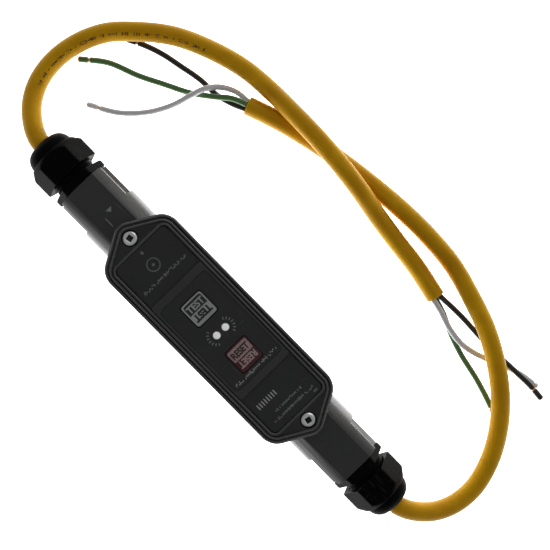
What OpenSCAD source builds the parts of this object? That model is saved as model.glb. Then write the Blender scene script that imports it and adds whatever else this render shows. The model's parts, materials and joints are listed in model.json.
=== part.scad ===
// In-line ground fault circuit interrupter: a moulded body with a gasketed cover, two
// push buttons, a cable gland at each end and two short stripped supply cords.
// +Z points out of the face, +Y runs along the body to the load end, and the flat back
// lies on z = 0. The body is the same both ways round, apart from the controls.

/* [Cover] */
// Length over the two rounded noses
cover_l = 143.6; // [140:0.2:148]
// Width over the straight sides
cover_w = 45.6; // [44:0.2:48]
// Radius of the four corners
corner_r = 10; // [8:0.5:12]
// Radius of the two noses
nose_r = 7.8; // [6:0.2:9]
// Distance of each cover screw from the middle
screw_y = 63.4; // [62:0.1:64.5]
// Width of the label panel inside the border ridge
panel_w = 34.4; // [33:0.2:35]
// Length of the label panel inside the border ridge
panel_l = 114.4; // [112:0.2:116]

/* [Body] */
// Height of the parting face above the flat back
part_z = 31.5; // [30:0.5:33]
// Height of the barrel axis above the flat back
axis_z = 17.2; // [17:0.1:18]
// Radius of the barrels
barrel_r = 16.7; // [16:0.1:17]
// Where the full barrel stops, from the middle
barrel_full = 82; // [78:0.5:86]
// Where the barrel ends, from the middle
barrel_end = 100.5; // [98:0.5:102]
// Half width of the barrel between its side ribs
waist = 13.4; // [12.5:0.1:14.5]
// Half width over the side ribs
rib_reach = 15.3; // [14.6:0.1:16]
// Width of the flat back
back_w = 34; // [30:0.5:36]

/* [Controls] */
// Side of the square button caps
cap_w = 13.7; // [12:0.1:15]
// Middle of the test button
test_y = 14.6; // [13:0.1:16]
// Middle of the reset button
reset_y = -17.2; // [-18.5:0.1:-15]
// How far a button travels
press = 1; // [0.6:0.1:1]
// Distance of each lens from the centre line
lens_x = 3; // [2.6:0.1:4]
// Radius of the lenses
lens_r = 1.95; // [1.5:0.05:2]

/* [Glands] */
// Half length over the two gland nuts
half_l = 130.5; // [129:0.5:132]
// Corner radius of the hexagon on the nut
nut_r = 16.5; // [16:0.1:17]
// Corner radius of the hexagon on the gland body
flange_r = 15.8; // [15:0.1:16.4]
// Pitch of the gland thread
pitch = 1.5; // [1:0.25:2]

/* [Cords] */
// Diameter of the jacketed cords
cord_d = 10.2; // [9:0.1:10.6]
// Diameter of the insulated conductors
wire_d = 3.2; // [2.6:0.1:3.4]

/* [Hidden] */
$fn = 48;

// Smallest overlap of a cutting tool past the face that it cuts
cut = 0.5;
// Colours
c_body = [0.17, 0.17, 0.17];
c_cover = [0.10, 0.11, 0.11];
c_black = [0.04, 0.04, 0.04];
c_yellow = [0.92, 0.66, 0.05];
c_steel = [0.80, 0.81, 0.83];
c_brass = [0.80, 0.62, 0.28];
c_copper = [0.75, 0.42, 0.25];

// Levels through the thickness, from the back to the face
floor_z = 3;
flange_z = 28.3;
gasket_z = 33;
lid_z = 36.8;
field_z = 39.2;
face_z = 40;
board_z = 24;
board_t = 1.6;
carrier_z = 33.6;
carrier_t = 1.6;
cap_z0 = 37.6;
cap_z1 = 39.9;
seat_z = 37;
board_top = board_z + board_t;
// A contact pill stops this far above the board when its button is fully in
contact_gap = 0.2;
pill_z = board_top + press + contact_gap;
pill_t = 1;
pipe_z = 30.6;
led_z = 28.8;
label_t = 0.25;
membrane_t = 0.4;

// Steps of the cover's rim, as insets from its outline
step_in = 2.1;
ridge_in = 3.3;
groove_w = 0.5;
screw_seat_r = 4.3;
clearance_r = 2.2;

// Parts of the face
opening = [31.6, 55.7];
opening_y = -0.85;
bezel_l = 63.7;
bezel_y = -0.7;
upper_y = 44.4;
upper_l = 25;
lower_y = -45.1;
lower_l = 23.4;
lens_y = -1;
stem_r = 3;
spring_r = 3.9;

// Inside of the body
wall = 2.5;
flange_half = 21.5;
cavity_l = 114;
trough_l = 128;
boss_r = 6;
cord_bore = 8;
thread_bore = 9.85;
thread_start = 88;
insert_r = 2.8;
insert_z = 26.9;
post = [13, 31];
post_r = 2.8;
board_screw_r = 1.1;
peg_y = [24, -26];
peg_x = 13;
peg_r = 1.2;
block_y0 = 38;
block_y1 = 47;
block_top = 13.5;
pole_x = [-8, 0, 8];
pole_z = 9.5;
clamp_y = block_y1 - 4.5;
busbar_r = 1.2;
sensor_x = 2.4;
toroid = [0, -22, 13.2];
toroid_in = 5.4;
toroid_w = 2.8;
toroid_h = 6.4;
relay_pin = [14.6, 20.9];
relay_seat = 22;
coil_z = 14;
coil_y = [-3.4, 10.4];
core_r = 2;
contact_x = 9;
strip_x = [8.6, 9.8];
strip_z = [4, 5.2];
strip_y = 37.6;

// Along a gland, measured from the middle of the body
gland_flange = 101.3;
neck_z = 105;
neck_end = 117;
nut_z = 109;
nut_hex_end = 119.8;
nut_shoulder = 123.2;
crest_r = 12;
root_r = 11.3;
chamber_r = 9.6;
chamber_z = 108;
claw_bend = 119.5;
claw_tip = 124.6;
ring_z = 125.3;
ring_t = 1.2;
mouth_r = 6.2;
seal_r = 8.4;
seal_end = 123.5;
spigot_r = 9.8;
throat_r = 5.6;
dome_start = 122;
dome_r = 13.5;
tip_r = 7.2;
split_y = 60;
fan_y = 56;

// Routes of the cords and conductors, point by point from where each one starts
load_route = [[0, 130.5, 17.2], [0, 132.5, 17.2], [1.2, 137.2, 16.5], [4.3, 143.6, 14.2],
              [10, 151, 11], [20, 157.7, 7.8], [34, 160.8, 5.6], [50, 158.6, 5.8], [64, 151.8, 7.8],
              [76, 140.6, 9.2], [88, 126.8, 7.2], [97.7, 108, 5.2], [103.6, 88, 5.4],
              [105, 70, 8.6], [104.8, 54, 13.8], [104.4, 36, 16.4], [103.3, 17, 16.3],
              [101.8, 0, 13.6], [99.8, -17, 8.2], [98, -34, 5.3], [96, -52, 5.2],
              [92.5, -70.5, 5.2]];
line_route = [[0, -130.5, 17.2], [0, -132.5, 17.2], [1.2, -137, 16.4], [4.6, -143.8, 14],
              [11, -151.5, 10.6], [20.5, -157.3, 7.6], [34, -159.6, 5.7], [50, -155.6, 6],
              [66, -145.8, 8.2], [79.5, -133, 9.6], [90.5, -118, 10.2], [99.3, -102, 8.8], [106.4, -83, 5.4],
              [111, -64.5, 5.2], [112.4, -45, 5.2], [111.8, -24, 5.2], [109.7, -3, 5.2],
              [106.2, 19.5, 5.2], [101.7, 40.5, 5.2], [96.8, 58, 5.2], [91.2, 73.5, 5.2]];
load_black = [[94.4, -71, 6.2], [95.1, -78, 3], [95.6, -88, 1.8], [95.2, -103, 1.8],
              [95.1, -115, 2.4], [95.2, -123, 4.6], [95.6, -131, 5.2], [96, -141, 5.1],
              [95.4, -151, 4.9]];
load_white = [[90.5, -70, 6.3], [89, -77.5, 5.2], [86, -88, 5.4], [84.9, -98, 4.9],
              [87, -108.5, 2], [92, -121, 1.7], [96.8, -133.5, 1.7], [98.7, -145.5, 1.7]];
load_green = [[92.4, -70.5, 2.9], [89.8, -80, 1.7], [84.6, -92, 1.7], [80.9, -104, 1.7],
              [77.9, -118.5, 1.7], [74.4, -131, 1.7], [71, -141, 1.7]];
line_black = [[89.3, 72.8, 4], [86.2, 80.3, 1.8], [83.8, 89, 1.7], [83, 101, 1.7],
              [80.5, 113.5, 1.7], [77.6, 126, 1.7], [74, 135.5, 1.7], [69.8, 143.5, 1.7]];
line_white = [[93.1, 74.2, 4.2], [92.2, 83, 2.6], [86.5, 91.6, 5], [80, 95.7, 6.4],
              [73, 98, 6.2], [64.4, 100.9, 3], [52, 107.4, 1.7], [40.5, 117.5, 1.7],
              [30.5, 133.5, 1.7]];
line_green = [[91.2, 73.6, 7.2], [88, 81.3, 5.8], [81.5, 89.3, 4.6], [74.4, 99.5, 1.9],
              [67.8, 112, 1.7], [61, 125, 1.7], [54, 141.5, 1.7], [44, 153.8, 1.7]];

// ---------- Outlines ----------

// Points of an arc from angle a0 to a1
function arc(c, r, a0, a1, n) =
    [for (i = [0:n]) let (a = a0 + (a1 - a0) * i / n) c + r * [cos(a), sin(a)]];

// The slanted edges have their normals 60 degrees from +X, tangent to corner and nose
slant = 60;
nose_c = cover_l / 2 - nose_r;
corner_x = cover_w / 2 - corner_r;
corner_y = (nose_c * sin(slant) + nose_r - corner_r - corner_x * cos(slant)) / sin(slant);

// The cover's outline, moved inwards by inset
function cover_outline(inset) = concat(
    arc([corner_x, -corner_y], corner_r - inset, -slant, 0, 8),
    arc([corner_x, corner_y], corner_r - inset, 0, slant, 8),
    arc([0, nose_c], nose_r - inset, slant, 180 - slant, 8),
    arc([-corner_x, corner_y], corner_r - inset, 180 - slant, 180, 8),
    arc([-corner_x, -corner_y], corner_r - inset, 180, 180 + slant, 8),
    arc([0, -nose_c], nose_r - inset, 180 + slant, 360 - slant, 8));

// A rounded rectangle, w by l, about the origin
function round_rect(w, l, r) = concat(
    arc([w / 2 - r, l / 2 - r], r, 0, 90, 6), arc([r - w / 2, l / 2 - r], r, 90, 180, 6),
    arc([r - w / 2, r - l / 2], r, 180, 270, 6), arc([w / 2 - r, r - l / 2], r, 270, 360, 6));

// ---------- Shapes that repeat ----------

module slab(points, z0, z1) translate([0, 0, z0]) linear_extrude(z1 - z0) polygon(points);

module cover_slab(inset, z0, z1) slab(cover_outline(inset), z0, z1);

module block(x, y, z) translate([x[0], y[0], z[0]]) cube([x[1] - x[0], y[1] - y[0], z[1] - z[0]]);

module rod_z(r, z0, z1) translate([0, 0, z0]) cylinder(r = r, h = z1 - z0);

module tube_z(ro, ri, z0, z1) difference() {
    rod_z(ro, z0, z1);
    rod_z(ri, z0 - cut, z1 + cut);
}

// A round bar of radius r from p to q
module bar(p, q, r) {
    d = q - p;
    translate(p) rotate([0, acos(d[2] / norm(d)), atan2(d[1], d[0])]) cylinder(r = r, h = norm(d));
}

// Turns a piece drawn along +Z from the body's middle into the barrel at one end
module at_end(side) translate([0, 0, axis_z]) rotate([-90 * side, 0, 0]) children();

module both_ends() for (side = [1, -1]) at_end(side) children();

module four(x, y) for (i = [-1, 1], j = [-1, 1]) translate([i * x, j * y, 0]) children();

// A polyhedron tube round a route: each ring lies across the mean direction at its point
function along(route, i) =
    let (a = route[max(i - 1, 0)], b = route[min(i + 1, len(route) - 1)]) (b - a) / norm(b - a);
function ring(route, i, r, n) =
    let (t = along(route, i), s = cross([0, 0, 1], t), u = s / norm(s), v = cross(t, u))
    [for (k = [0:n - 1]) route[i] + r * (cos(360 * k / n) * u + sin(360 * k / n) * v)];

module tube(route, r, n) {
    m = len(route);
    points = [for (i = [0:m - 1]) each ring(route, i, r, n)];
    sides = [for (i = [0:m - 2], k = [0:n - 1]) let (j = (k + 1) % n)
             each [[i * n + k, (i + 1) * n + k, (i + 1) * n + j], [i * n + k, (i + 1) * n + j, i * n + j]]];
    first = [for (k = [0:n - 1]) k];
    last = [for (k = [n - 1:-1:0]) (m - 1) * n + k];
    polyhedron(points, concat(sides, [first, last]));
}

// A coil spring about the Z axis, from z0 to z1 over its wire
module coil_spring(z0, z1, r, wire, turns) {
    steps = 18 * turns;
    rise = z1 - z0 - 2 * wire;
    tube([for (i = [0:steps]) [r * cos(20 * i), r * sin(20 * i), z0 + wire + rise * i / steps]], wire, 6);
}

// ---------- Body ----------

module trough() intersection() {
    half = back_w / 2;
    rotate([90, 0, 0]) translate([0, 0, -trough_l / 2]) linear_extrude(trough_l)
        polygon([[2 - half, 0], [half - 2, 0], [half, 2], [flange_half, flange_z + 1],
                 [-flange_half, flange_z + 1], [-half, 2]]);
    slab(round_rect(2 * flange_half + 1, trough_l, 8), 0, flange_z + 1);
}

module barrel() {
    intersection() {
        rod_z(barrel_r, 56, barrel_full);
        translate([-20, axis_z - part_z, 0]) cube([40, 40, barrel_full + 1]);
    }
    intersection() {
        rod_z(barrel_r, barrel_full, barrel_end);
        translate([-waist, axis_z - part_z, 0]) cube([2 * waist, 40, barrel_end]);
    }
    for (s = [-1, 1])
        translate([0, 0, barrel_full]) linear_extrude(barrel_end - barrel_full)
            polygon([[s * (waist - 1), -5], [s * rib_reach, -1], [s * rib_reach, 1], [s * (waist - 1), 5]]);
}

module cavity() intersection() {
    half = back_w / 2 - wall;
    rotate([90, 0, 0]) translate([0, 0, -cavity_l / 2]) linear_extrude(cavity_l)
        polygon([[-half, floor_z], [half, floor_z], [flange_half - wall, part_z + 1],
                 [wall - flange_half, part_z + 1]]);
    slab(round_rect(2 * flange_half, cavity_l, 6), 0, part_z + 1);
}

module housing() color(c_body) {
    difference() {
        union() {
            trough();
            cover_slab(0.2, flange_z, part_z);
            for (turn = [0, 180]) rotate(turn) at_end(1) barrel();
            for (s = [-1, 1]) translate([0, s * screw_y, 0]) rod_z(boss_r, axis_z, part_z);
        }
        cavity();
        both_ends() rod_z(cord_bore, cavity_l / 2 - 2, thread_start + cut);
        both_ends() rod_z(thread_bore, thread_start, barrel_end + cut);
        for (s = [-1, 1]) translate([0, s * screw_y, 0]) rod_z(insert_r, insert_z, part_z + cut);
    }
    difference() {
        four(post[0], post[1]) rod_z(post_r, floor_z - 1, board_z);
        four(post[0], post[1]) rod_z(board_screw_r + 0.05, board_z - 8, board_z + cut);
    }
    difference() {
        block([-6, 6], [toroid[1] - 4, toroid[1] + 4], [floor_z - 1, 6]);
        translate(toroid) rotate([90, 0, 0]) cylinder(r = 9, h = 20, center = true);
    }
}

module screw_inserts() color(c_brass) for (s = [-1, 1]) translate([0, s * screw_y, 0])
    difference() {
        union() {
            rod_z(insert_r - 0.3, insert_z, part_z);
            rod_z(insert_r, insert_z, insert_z + 1.6);
            rod_z(insert_r, part_z - 1.6, part_z);
        }
        rod_z(1.95, insert_z - cut, part_z + cut);
    }

module cover_gasket() color(c_black) difference() {
    cover_slab(0.9, part_z, gasket_z);
    slab(round_rect(36, cavity_l, 6), part_z - cut, gasket_z + cut);
    for (s = [-1, 1]) translate([0, s * screw_y, 0]) rod_z(2.3, part_z - cut, gasket_z + cut);
}

// ---------- Cover ----------

// A flat ring between two insets of the cover's outline
module rim(outer, inner, z0, z1) difference() {
    cover_slab(outer, z0, z1);
    cover_slab(inner, z0 - cut, z1 + cut);
}

module cover_openings() {
    for (y = [test_y, reset_y]) translate([0, y, 0])
        slab(round_rect(cap_w + 0.6, cap_w + 0.6, 1.4), lid_z - cut, face_z + cut);
    for (s = [-1, 1]) translate([s * lens_x, lens_y, 0])
        rod_z(lens_r + 0.1, lid_z - cut, face_z + cut);
}

module cover() color(c_cover) {
    difference() {
        union() {
            cover_slab(0, gasket_z, field_z - 0.8);
            cover_slab(step_in, gasket_z, field_z);
            rim(step_in, ridge_in, 38, face_z - 0.4);
            difference() {
                slab(round_rect(panel_w + 3.6, panel_l + 3, 4.6), 38, face_z);
                slab(round_rect(panel_w + 0.6, panel_l, 3.2), field_z, face_z + cut);
            }
        }
        rim(step_in - groove_w, step_in, 37.6, 39);
        rim(ridge_in, ridge_in + groove_w, 38, face_z + cut);
        difference() {
            slab(round_rect(panel_w + 0.6, panel_l, 3.2), 38.6, face_z);
            slab(round_rect(panel_w - 0.2, panel_l - 0.8, 2.8), 38, face_z + cut);
        }
        intersection() {
            cover_slab(2.6, gasket_z - cut, lid_z);
            slab(round_rect(cover_w, cavity_l, 6), gasket_z - cut, lid_z);
        }
        cover_openings();
        for (s = [-1, 1]) translate([0, s * screw_y, 0]) {
            rod_z(clearance_r, gasket_z - cut, face_z);
            rod_z(screw_seat_r, seat_z, face_z + cut);
        }
    }
    for (x = [-peg_x, peg_x], y = peg_y) translate([x, y, 0]) {
        rod_z(peg_r + 1, carrier_z + carrier_t, lid_z);
        rod_z(peg_r, carrier_z, carrier_z + carrier_t);
        rod_z(peg_r + 0.8, carrier_z - 0.7, carrier_z);
    }
}

module cover_screws() color(c_steel) for (s = [-1, 1]) translate([0, s * screw_y, 0])
    difference() {
        union() {
            rod_z(1.9, insert_z + 0.4, seat_z + 0.5);
            rod_z(3.8, seat_z + 0.4, 39);
            translate([0, 0, 39]) cylinder(r1 = 3.8, r2 = 3.1, h = 0.6);
        }
        rotate(s * 12) translate([-1.4, -1.4, 38]) cube([2.8, 2.8, 3]);
    }

module screw_seals() color(c_black) for (s = [-1, 1]) translate([0, s * screw_y, 0])
    tube_z(4.0, 2.1, seat_z, seat_z + 0.4);

module upper_label() color(c_cover)
    translate([0, upper_y, 0]) slab(round_rect(panel_w - 1, upper_l, 2.4), field_z, field_z + label_t);

module lower_label() color(c_cover)
    translate([0, lower_y, 0]) slab(round_rect(panel_w - 1, lower_l, 2.4), field_z, field_z + label_t);

module control_bezel() color([0.22, 0.22, 0.22]) difference() {
    translate([0, bezel_y, 0]) slab(round_rect(panel_w - 0.4, bezel_l, 1), field_z, face_z);
    translate([0, opening_y, 0]) slab(round_rect(opening[0], opening[1], 2.4), field_z - cut, face_z + cut);
}

module keypad_membrane() color([0.13, 0.13, 0.14]) difference() {
    translate([0, opening_y, 0])
        slab(round_rect(opening[0] - 0.2, opening[1] - 0.2, 2.3), field_z, field_z + membrane_t);
    cover_openings();
}

module button_carrier() color(c_black) difference() {
    translate([0, -1, 0]) slab(round_rect(31, 58, 3), carrier_z, carrier_z + carrier_t);
    for (y = [test_y, reset_y]) translate([0, y, 0]) rod_z(stem_r + 0.1, carrier_z - cut, cap_z0);
    for (s = [-1, 1]) translate([s * lens_x, lens_y, 0]) rod_z(lens_r + 0.1, carrier_z - cut, cap_z0);
    for (x = [-peg_x, peg_x], y = peg_y) translate([x, y, 0]) rod_z(peg_r, carrier_z - cut, cap_z0);
}

// ---------- Buttons and lights ----------

module push_button(y) translate([0, y, 0]) {
    slab(round_rect(cap_w, cap_w, 1.2), cap_z0, cap_z1);
    rod_z(stem_r, pill_z + pill_t, cap_z0);
    rod_z(stem_r + 0.9, carrier_z - 1.2, carrier_z - 0.4);
}

module button_spring(y) color(c_steel)
    translate([0, y, 0]) coil_spring(carrier_z + carrier_t, cap_z0, spring_r, 0.3, 2.5);

module contact_pill(y) color(c_black) translate([0, y, 0]) rod_z(stem_r - 0.5, pill_z, pill_z + pill_t);

module test_button() color([0.30, 0.30, 0.31]) push_button(test_y);
module reset_button() color([0.30, 0.08, 0.08]) push_button(reset_y);
module test_spring() button_spring(test_y);
module reset_spring() button_spring(reset_y);
module test_contact_pill() contact_pill(test_y);
module reset_contact_pill() contact_pill(reset_y);

module light_pipe(x) color([0.92, 0.93, 0.95]) translate([x, lens_y, 0]) {
    rod_z(lens_r, pipe_z, field_z + 0.3);
    rod_z(2.7, carrier_z - 1, carrier_z);
    translate([0, 0, field_z + 0.3]) cylinder(r1 = lens_r, r2 = lens_r - 0.5, h = 0.45);
}

module power_lens() light_pipe(-lens_x);
module fault_lens() light_pipe(lens_x);

module indicator_leds() color([0.9, 0.9, 0.9]) for (s = [-1, 1]) translate([s * lens_x, lens_y, 0]) {
    rod_z(1.8, board_top, board_top + 0.8);
    rod_z(1.5, board_top, led_z);
    translate([0, 0, led_z]) cylinder(r1 = 1.5, r2 = 0.8, h = 0.9);
}

// ---------- Circuit ----------

module circuit_board() color([0.10, 0.35, 0.18]) difference() {
    slab(round_rect(32, 68, 1), board_z, board_top);
    four(post[0], post[1]) rod_z(board_screw_r + 0.4, board_z - cut, board_top + cut);
}

module board_screws() color(c_steel) four(post[0], post[1]) difference() {
    union() {
        rod_z(board_screw_r, board_z - 7, board_top);
        rod_z(2.4, board_top, board_top + 1.6);
    }
    block([-0.4, 0.4], [-3, 3], [board_top + 0.8, board_top + 3]);
}

module control_chip() color(c_black) {
    block([-4, 4], [-31, -26], [board_top + 0.3, board_top + 1.8]);
    for (x = [-3:2:3], y = [-32.2, -26])
        block([x - 0.25, x + 0.25], [y, y + 1.2], [board_top, board_top + 0.8]);
}

// Both halves of the current sensor turn about the axis that the busbars run along
module about_toroid() translate(toroid) rotate([90, 0, 0]) children();

module sense_coil_core() color([0.25, 0.25, 0.27])
    about_toroid() rotate_extrude() translate([toroid_in, -toroid_h / 2]) square([toroid_w, toroid_h]);

module sense_coil_winding() color(c_copper) about_toroid()
    for (k = [0:7]) rotate(45 * k) rotate_extrude(angle = 38) difference() {
        translate([toroid_in - 0.7, -toroid_h / 2 - 0.8]) square([toroid_w + 1.4, toroid_h + 1.6]);
        translate([toroid_in, -toroid_h / 2]) square([toroid_w, toroid_h]);
    }

module relay_base() color([0.12, 0.12, 0.13]) {
    block([-11, 11], [-6, 20], [relay_seat, board_z]);
    for (x = [-7, 7]) difference() {
        block([x - 0.8, x + 0.8], [13, 16.2], [19.3, relay_seat]);
        translate([0, relay_pin[0], relay_pin[1]]) rotate([0, 90, 0])
            cylinder(r = 0.87, h = 20, center = true);
    }
}

module relay_yoke() color(c_steel) {
    block([-5, 5], [-5, 13.4], [relay_seat - 1.5, relay_seat]);
    block([-5, 5], [-5, -3.5], [8, relay_seat]);
    bar([0, -3.5, coil_z], [0, 11.8, coil_z], core_r);
}

module relay_coil() color(c_copper) difference() {
    union() {
        bar([0, coil_y[0], coil_z], [0, coil_y[1], coil_z], 5);
        for (y = [coil_y[0], coil_y[1] - 0.8]) bar([0, y, coil_z], [0, y + 0.8, coil_z], 5.8);
    }
    bar([0, coil_y[0] - 1, coil_z], [0, coil_y[1] + 1, coil_z], core_r + 0.1);
}

module relay_armature() color(c_steel) {
    block([-5.8, 5.8], [14, 15.2], [9, 21]);
    block([-10, 10], [14, 15.2], [9, 11.5]);
    translate([0, relay_pin[0], relay_pin[1]]) rotate([0, 90, 0])
        cylinder(r = 0.8, h = 15.4, center = true);
}

module relay_contacts() color(c_brass) for (x = [-contact_x, contact_x]) {
    block([x - 1, x + 1], [10.6, 11.4], [8.5, relay_seat]);
    bar([x, 11.4, 10.2], [x, 11.9, 10.2], 1);
}

module varistor() color([0.12, 0.24, 0.50]) {
    bar([9, -13.5, 17], [9, -10.5, 17], 4.5);
    for (s = [-1, 1]) bar([9 + 2.5 * s, -12, 20.5], [9 + 2.5 * s, -12, board_z], 0.4);
}

module filter_capacitor() color([0.75, 0.62, 0.20])
    block([-6, 6], [22.5, 33], [13, board_z]);

module terminal_block(s) color([0.16, 0.16, 0.16]) difference() {
    block([-12.5, 12.5], [min(s * block_y0, s * block_y1), max(s * block_y0, s * block_y1)],
          [floor_z, block_top]);
    for (x = pole_x) {
        bar([x, s * (block_y1 + cut), pole_z], [x, s * (block_y1 - 3.5), pole_z], 2);
        bar([x, s * (block_y0 - cut), pole_z], [x, s * (block_y0 + 3), pole_z], busbar_r + 0.1);
        translate([x, s * clamp_y, 0]) rod_z(1.6, 11, block_top + cut);
    }
}

module line_terminal_block() terminal_block(-1);
module load_terminal_block() terminal_block(1);

module terminal_screws() color(c_steel)
    for (s = [-1, 1], x = pole_x) translate([x, s * clamp_y, 0]) difference() {
        union() {
            rod_z(1.5, 11.2, block_top);
            rod_z(2.4, block_top, block_top + 1.8);
        }
        block([-3, 3], [-0.4, 0.4], [block_top + 1, block_top + 2.5]);
    }

// Live and neutral run from the line block through the sensor to the relay
module line_busbars() color(c_brass) for (s = [-1, 1]) {
    path = [[s * pole_x[2], -block_y0 - 3, pole_z], [s * pole_x[2], -34, pole_z],
            [s * sensor_x, -27.5, toroid[2]], [s * sensor_x, -8, toroid[2]],
            [s * 8.6, -8, 21.5], [s * 8.6, -8, board_z]];
    for (i = [1:len(path) - 1]) bar(path[i - 1], path[i], busbar_r);
}

// From the board beside the relay's contacts to the load block
module load_busbars() color(c_brass) for (s = [-1, 1]) {
    path = [[s * pole_x[2], block_y0 + 3, pole_z], [s * pole_x[2], 21.4, pole_z],
            [s * pole_x[2], 21.4, board_z]];
    for (i = [1:len(path) - 1]) bar(path[i - 1], path[i], busbar_r);
}

// Earth runs straight through as a flat strip, along the floor beside the sensor and relay
module earth_link() color(c_brass) {
    for (turn = [0, 180]) rotate(turn) {
        y = [strip_y - 1.2, strip_y];
        block([-0.8, 0.8], [y[0], block_y0 + 3], [pole_z - 0.8, pole_z + 0.8]);
        block([-0.8, 0.8], y, [strip_z[0], pole_z + 0.8]);
        block(turn == 0 ? [-0.8, strip_x[1]] : [-strip_x[1], 0.8], y, strip_z);
    }
    block(strip_x, [-strip_y, strip_y], strip_z);
}

// ---------- Cable glands ----------

// Profile of the neck's thread, as crests round a plain root
function thread_profile(z0, z1) = concat([[chamber_r, z0], [root_r, z0]],
    [for (z = [z0 + 0.3:pitch:z1 - pitch]) each [[root_r, z], [crest_r, z + 0.45],
        [crest_r, z + 0.75], [root_r, z + 1.2]]],
    [[root_r, z1], [chamber_r, z1]]);

module gland_body() color(c_black) {
    difference() {
        union() {
            rod_z(spigot_r, thread_start + 1, gland_flange + 1);
            intersection() {
                translate([0, 0, gland_flange]) cylinder(r = flange_r, h = neck_z - gland_flange, $fn = 6);
                rotate_extrude() polygon([[0, gland_flange], [flange_r - 0.9, gland_flange],
                    [flange_r, gland_flange + 0.7], [flange_r, neck_z - 0.7],
                    [flange_r - 0.9, neck_z], [0, neck_z]]);
            }
            rod_z(root_r, neck_z - 1, chamber_z);
        }
        rod_z(throat_r, thread_start, neck_end);
        rod_z(chamber_r, chamber_z, neck_end + cut);
    }
    rotate_extrude() polygon(thread_profile(chamber_z, neck_end));
    rotate_extrude() polygon([for (p = thread_profile(neck_z, chamber_z)) [max(p[0], 10.8), p[1]]]);
}

module gland_oring() color(c_black) tube_z(12.6, 9.85, barrel_end, gland_flange);

module gland_seal() color([0.12, 0.12, 0.12]) rotate_extrude()
    polygon([[cord_d / 2, chamber_z], [seal_r, chamber_z], [seal_r, claw_bend],
             [seal_r - 1.4, seal_end], [cord_d / 2, seal_end]]);

module gland_claw() color(c_black) difference() {
    rotate_extrude() polygon([[seal_r + 0.1, chamber_z], [chamber_r - 0.1, chamber_z],
        [chamber_r - 0.1, claw_bend], [8.3, claw_tip], [7.1, claw_tip], [seal_r + 0.1, claw_bend]]);
    for (k = [0:3]) rotate(45 * k) translate([-11, -0.5, neck_end + 0.5]) cube([22, 1, 10]);
}

module thrust_ring() color([0.75, 0.75, 0.72]) tube_z(8.6, 6.4, ring_z, ring_z + ring_t);

// The dome's outer radius falls as a quarter ellipse from the shoulder to the mouth
dome_pts = [for (i = [0:10]) let (a = 9 * i)
    [tip_r + (dome_r - tip_r) * cos(a), dome_start + (half_l - dome_start) * sin(a)]];

module gland_nut() color(c_black) difference() {
    union() {
        intersection() {
            translate([0, 0, nut_z]) cylinder(r = nut_r, h = nut_shoulder - nut_z, $fn = 6);
            rotate_extrude() polygon([[0, nut_z], [nut_r - 1, nut_z], [nut_r, nut_z + 0.8],
                [nut_r, nut_hex_end], [dome_r, nut_shoulder], [0, nut_shoulder]]);
        }
        rotate_extrude() polygon(concat([[0, dome_start]], dome_pts, [[0, half_l]]));
    }
    rotate_extrude() polygon([[0, nut_z - cut], [crest_r + 0.1, nut_z - cut], [crest_r + 0.1, 118.5],
        [8.7, ring_z - 0.1], [8.7, ring_z + ring_t + 0.1], [mouth_r, ring_z + ring_t + 0.1],
        [mouth_r, half_l - 0.8], [mouth_r + 0.8, half_l + 0.1], [0, half_l + 0.1]]);
}

// The cord goes on through its gland, and its bared conductors reach the terminal block
module cord_tail(s) color(c_yellow) {
    bar([0, s * half_l, axis_z], [0, s * split_y, axis_z], cord_d / 2);
    for (k = [0:2]) {
        x = (k - 1) * 2.3;
        z = axis_z + (k == 1 ? 1.8 : -1.2);
        stop = s * (block_y1 + 2);
        bar([x, s * split_y, z], [x, s * fan_y, z], wire_d / 2);
        bar([x, s * fan_y, z], [pole_x[k], stop, pole_z], wire_d / 2);
        bar([pole_x[k], stop, pole_z], [pole_x[k], s * (block_y1 - 3.2), pole_z], busbar_r + 0.1);
    }
}

module load_gland_body() at_end(1) gland_body();
module load_gland_oring() at_end(1) gland_oring();
module load_gland_seal() at_end(1) gland_seal();
module load_gland_claw() at_end(1) gland_claw();
module load_thrust_ring() at_end(1) thrust_ring();
module load_gland_nut() at_end(1) gland_nut();
module line_gland_body() at_end(-1) gland_body();
module line_gland_oring() at_end(-1) gland_oring();
module line_gland_seal() at_end(-1) gland_seal();
module line_gland_claw() at_end(-1) gland_claw();
module line_thrust_ring() at_end(-1) thrust_ring();
module line_gland_nut() at_end(-1) gland_nut();
module load_cord_tail() cord_tail(1);
module line_cord_tail() cord_tail(-1);

// ---------- Cords ----------

module load_cord() color(c_yellow) tube(load_route, cord_d / 2, 12);
module line_cord() color(c_yellow) tube(line_route, cord_d / 2, 12);
module load_wire_black() color(c_black) tube(load_black, wire_d / 2, 8);
module load_wire_white() color([0.75, 0.75, 0.76]) tube(load_white, wire_d / 2, 8);
module load_wire_green() color([0.20, 0.38, 0.16]) tube(load_green, wire_d / 2, 8);
module line_wire_black() color(c_black) tube(line_black, wire_d / 2, 8);
module line_wire_white() color([0.75, 0.75, 0.76]) tube(line_white, wire_d / 2, 8);
module line_wire_green() color([0.20, 0.38, 0.16]) tube(line_green, wire_d / 2, 8);

// ---------- What is drawn ----------

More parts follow.
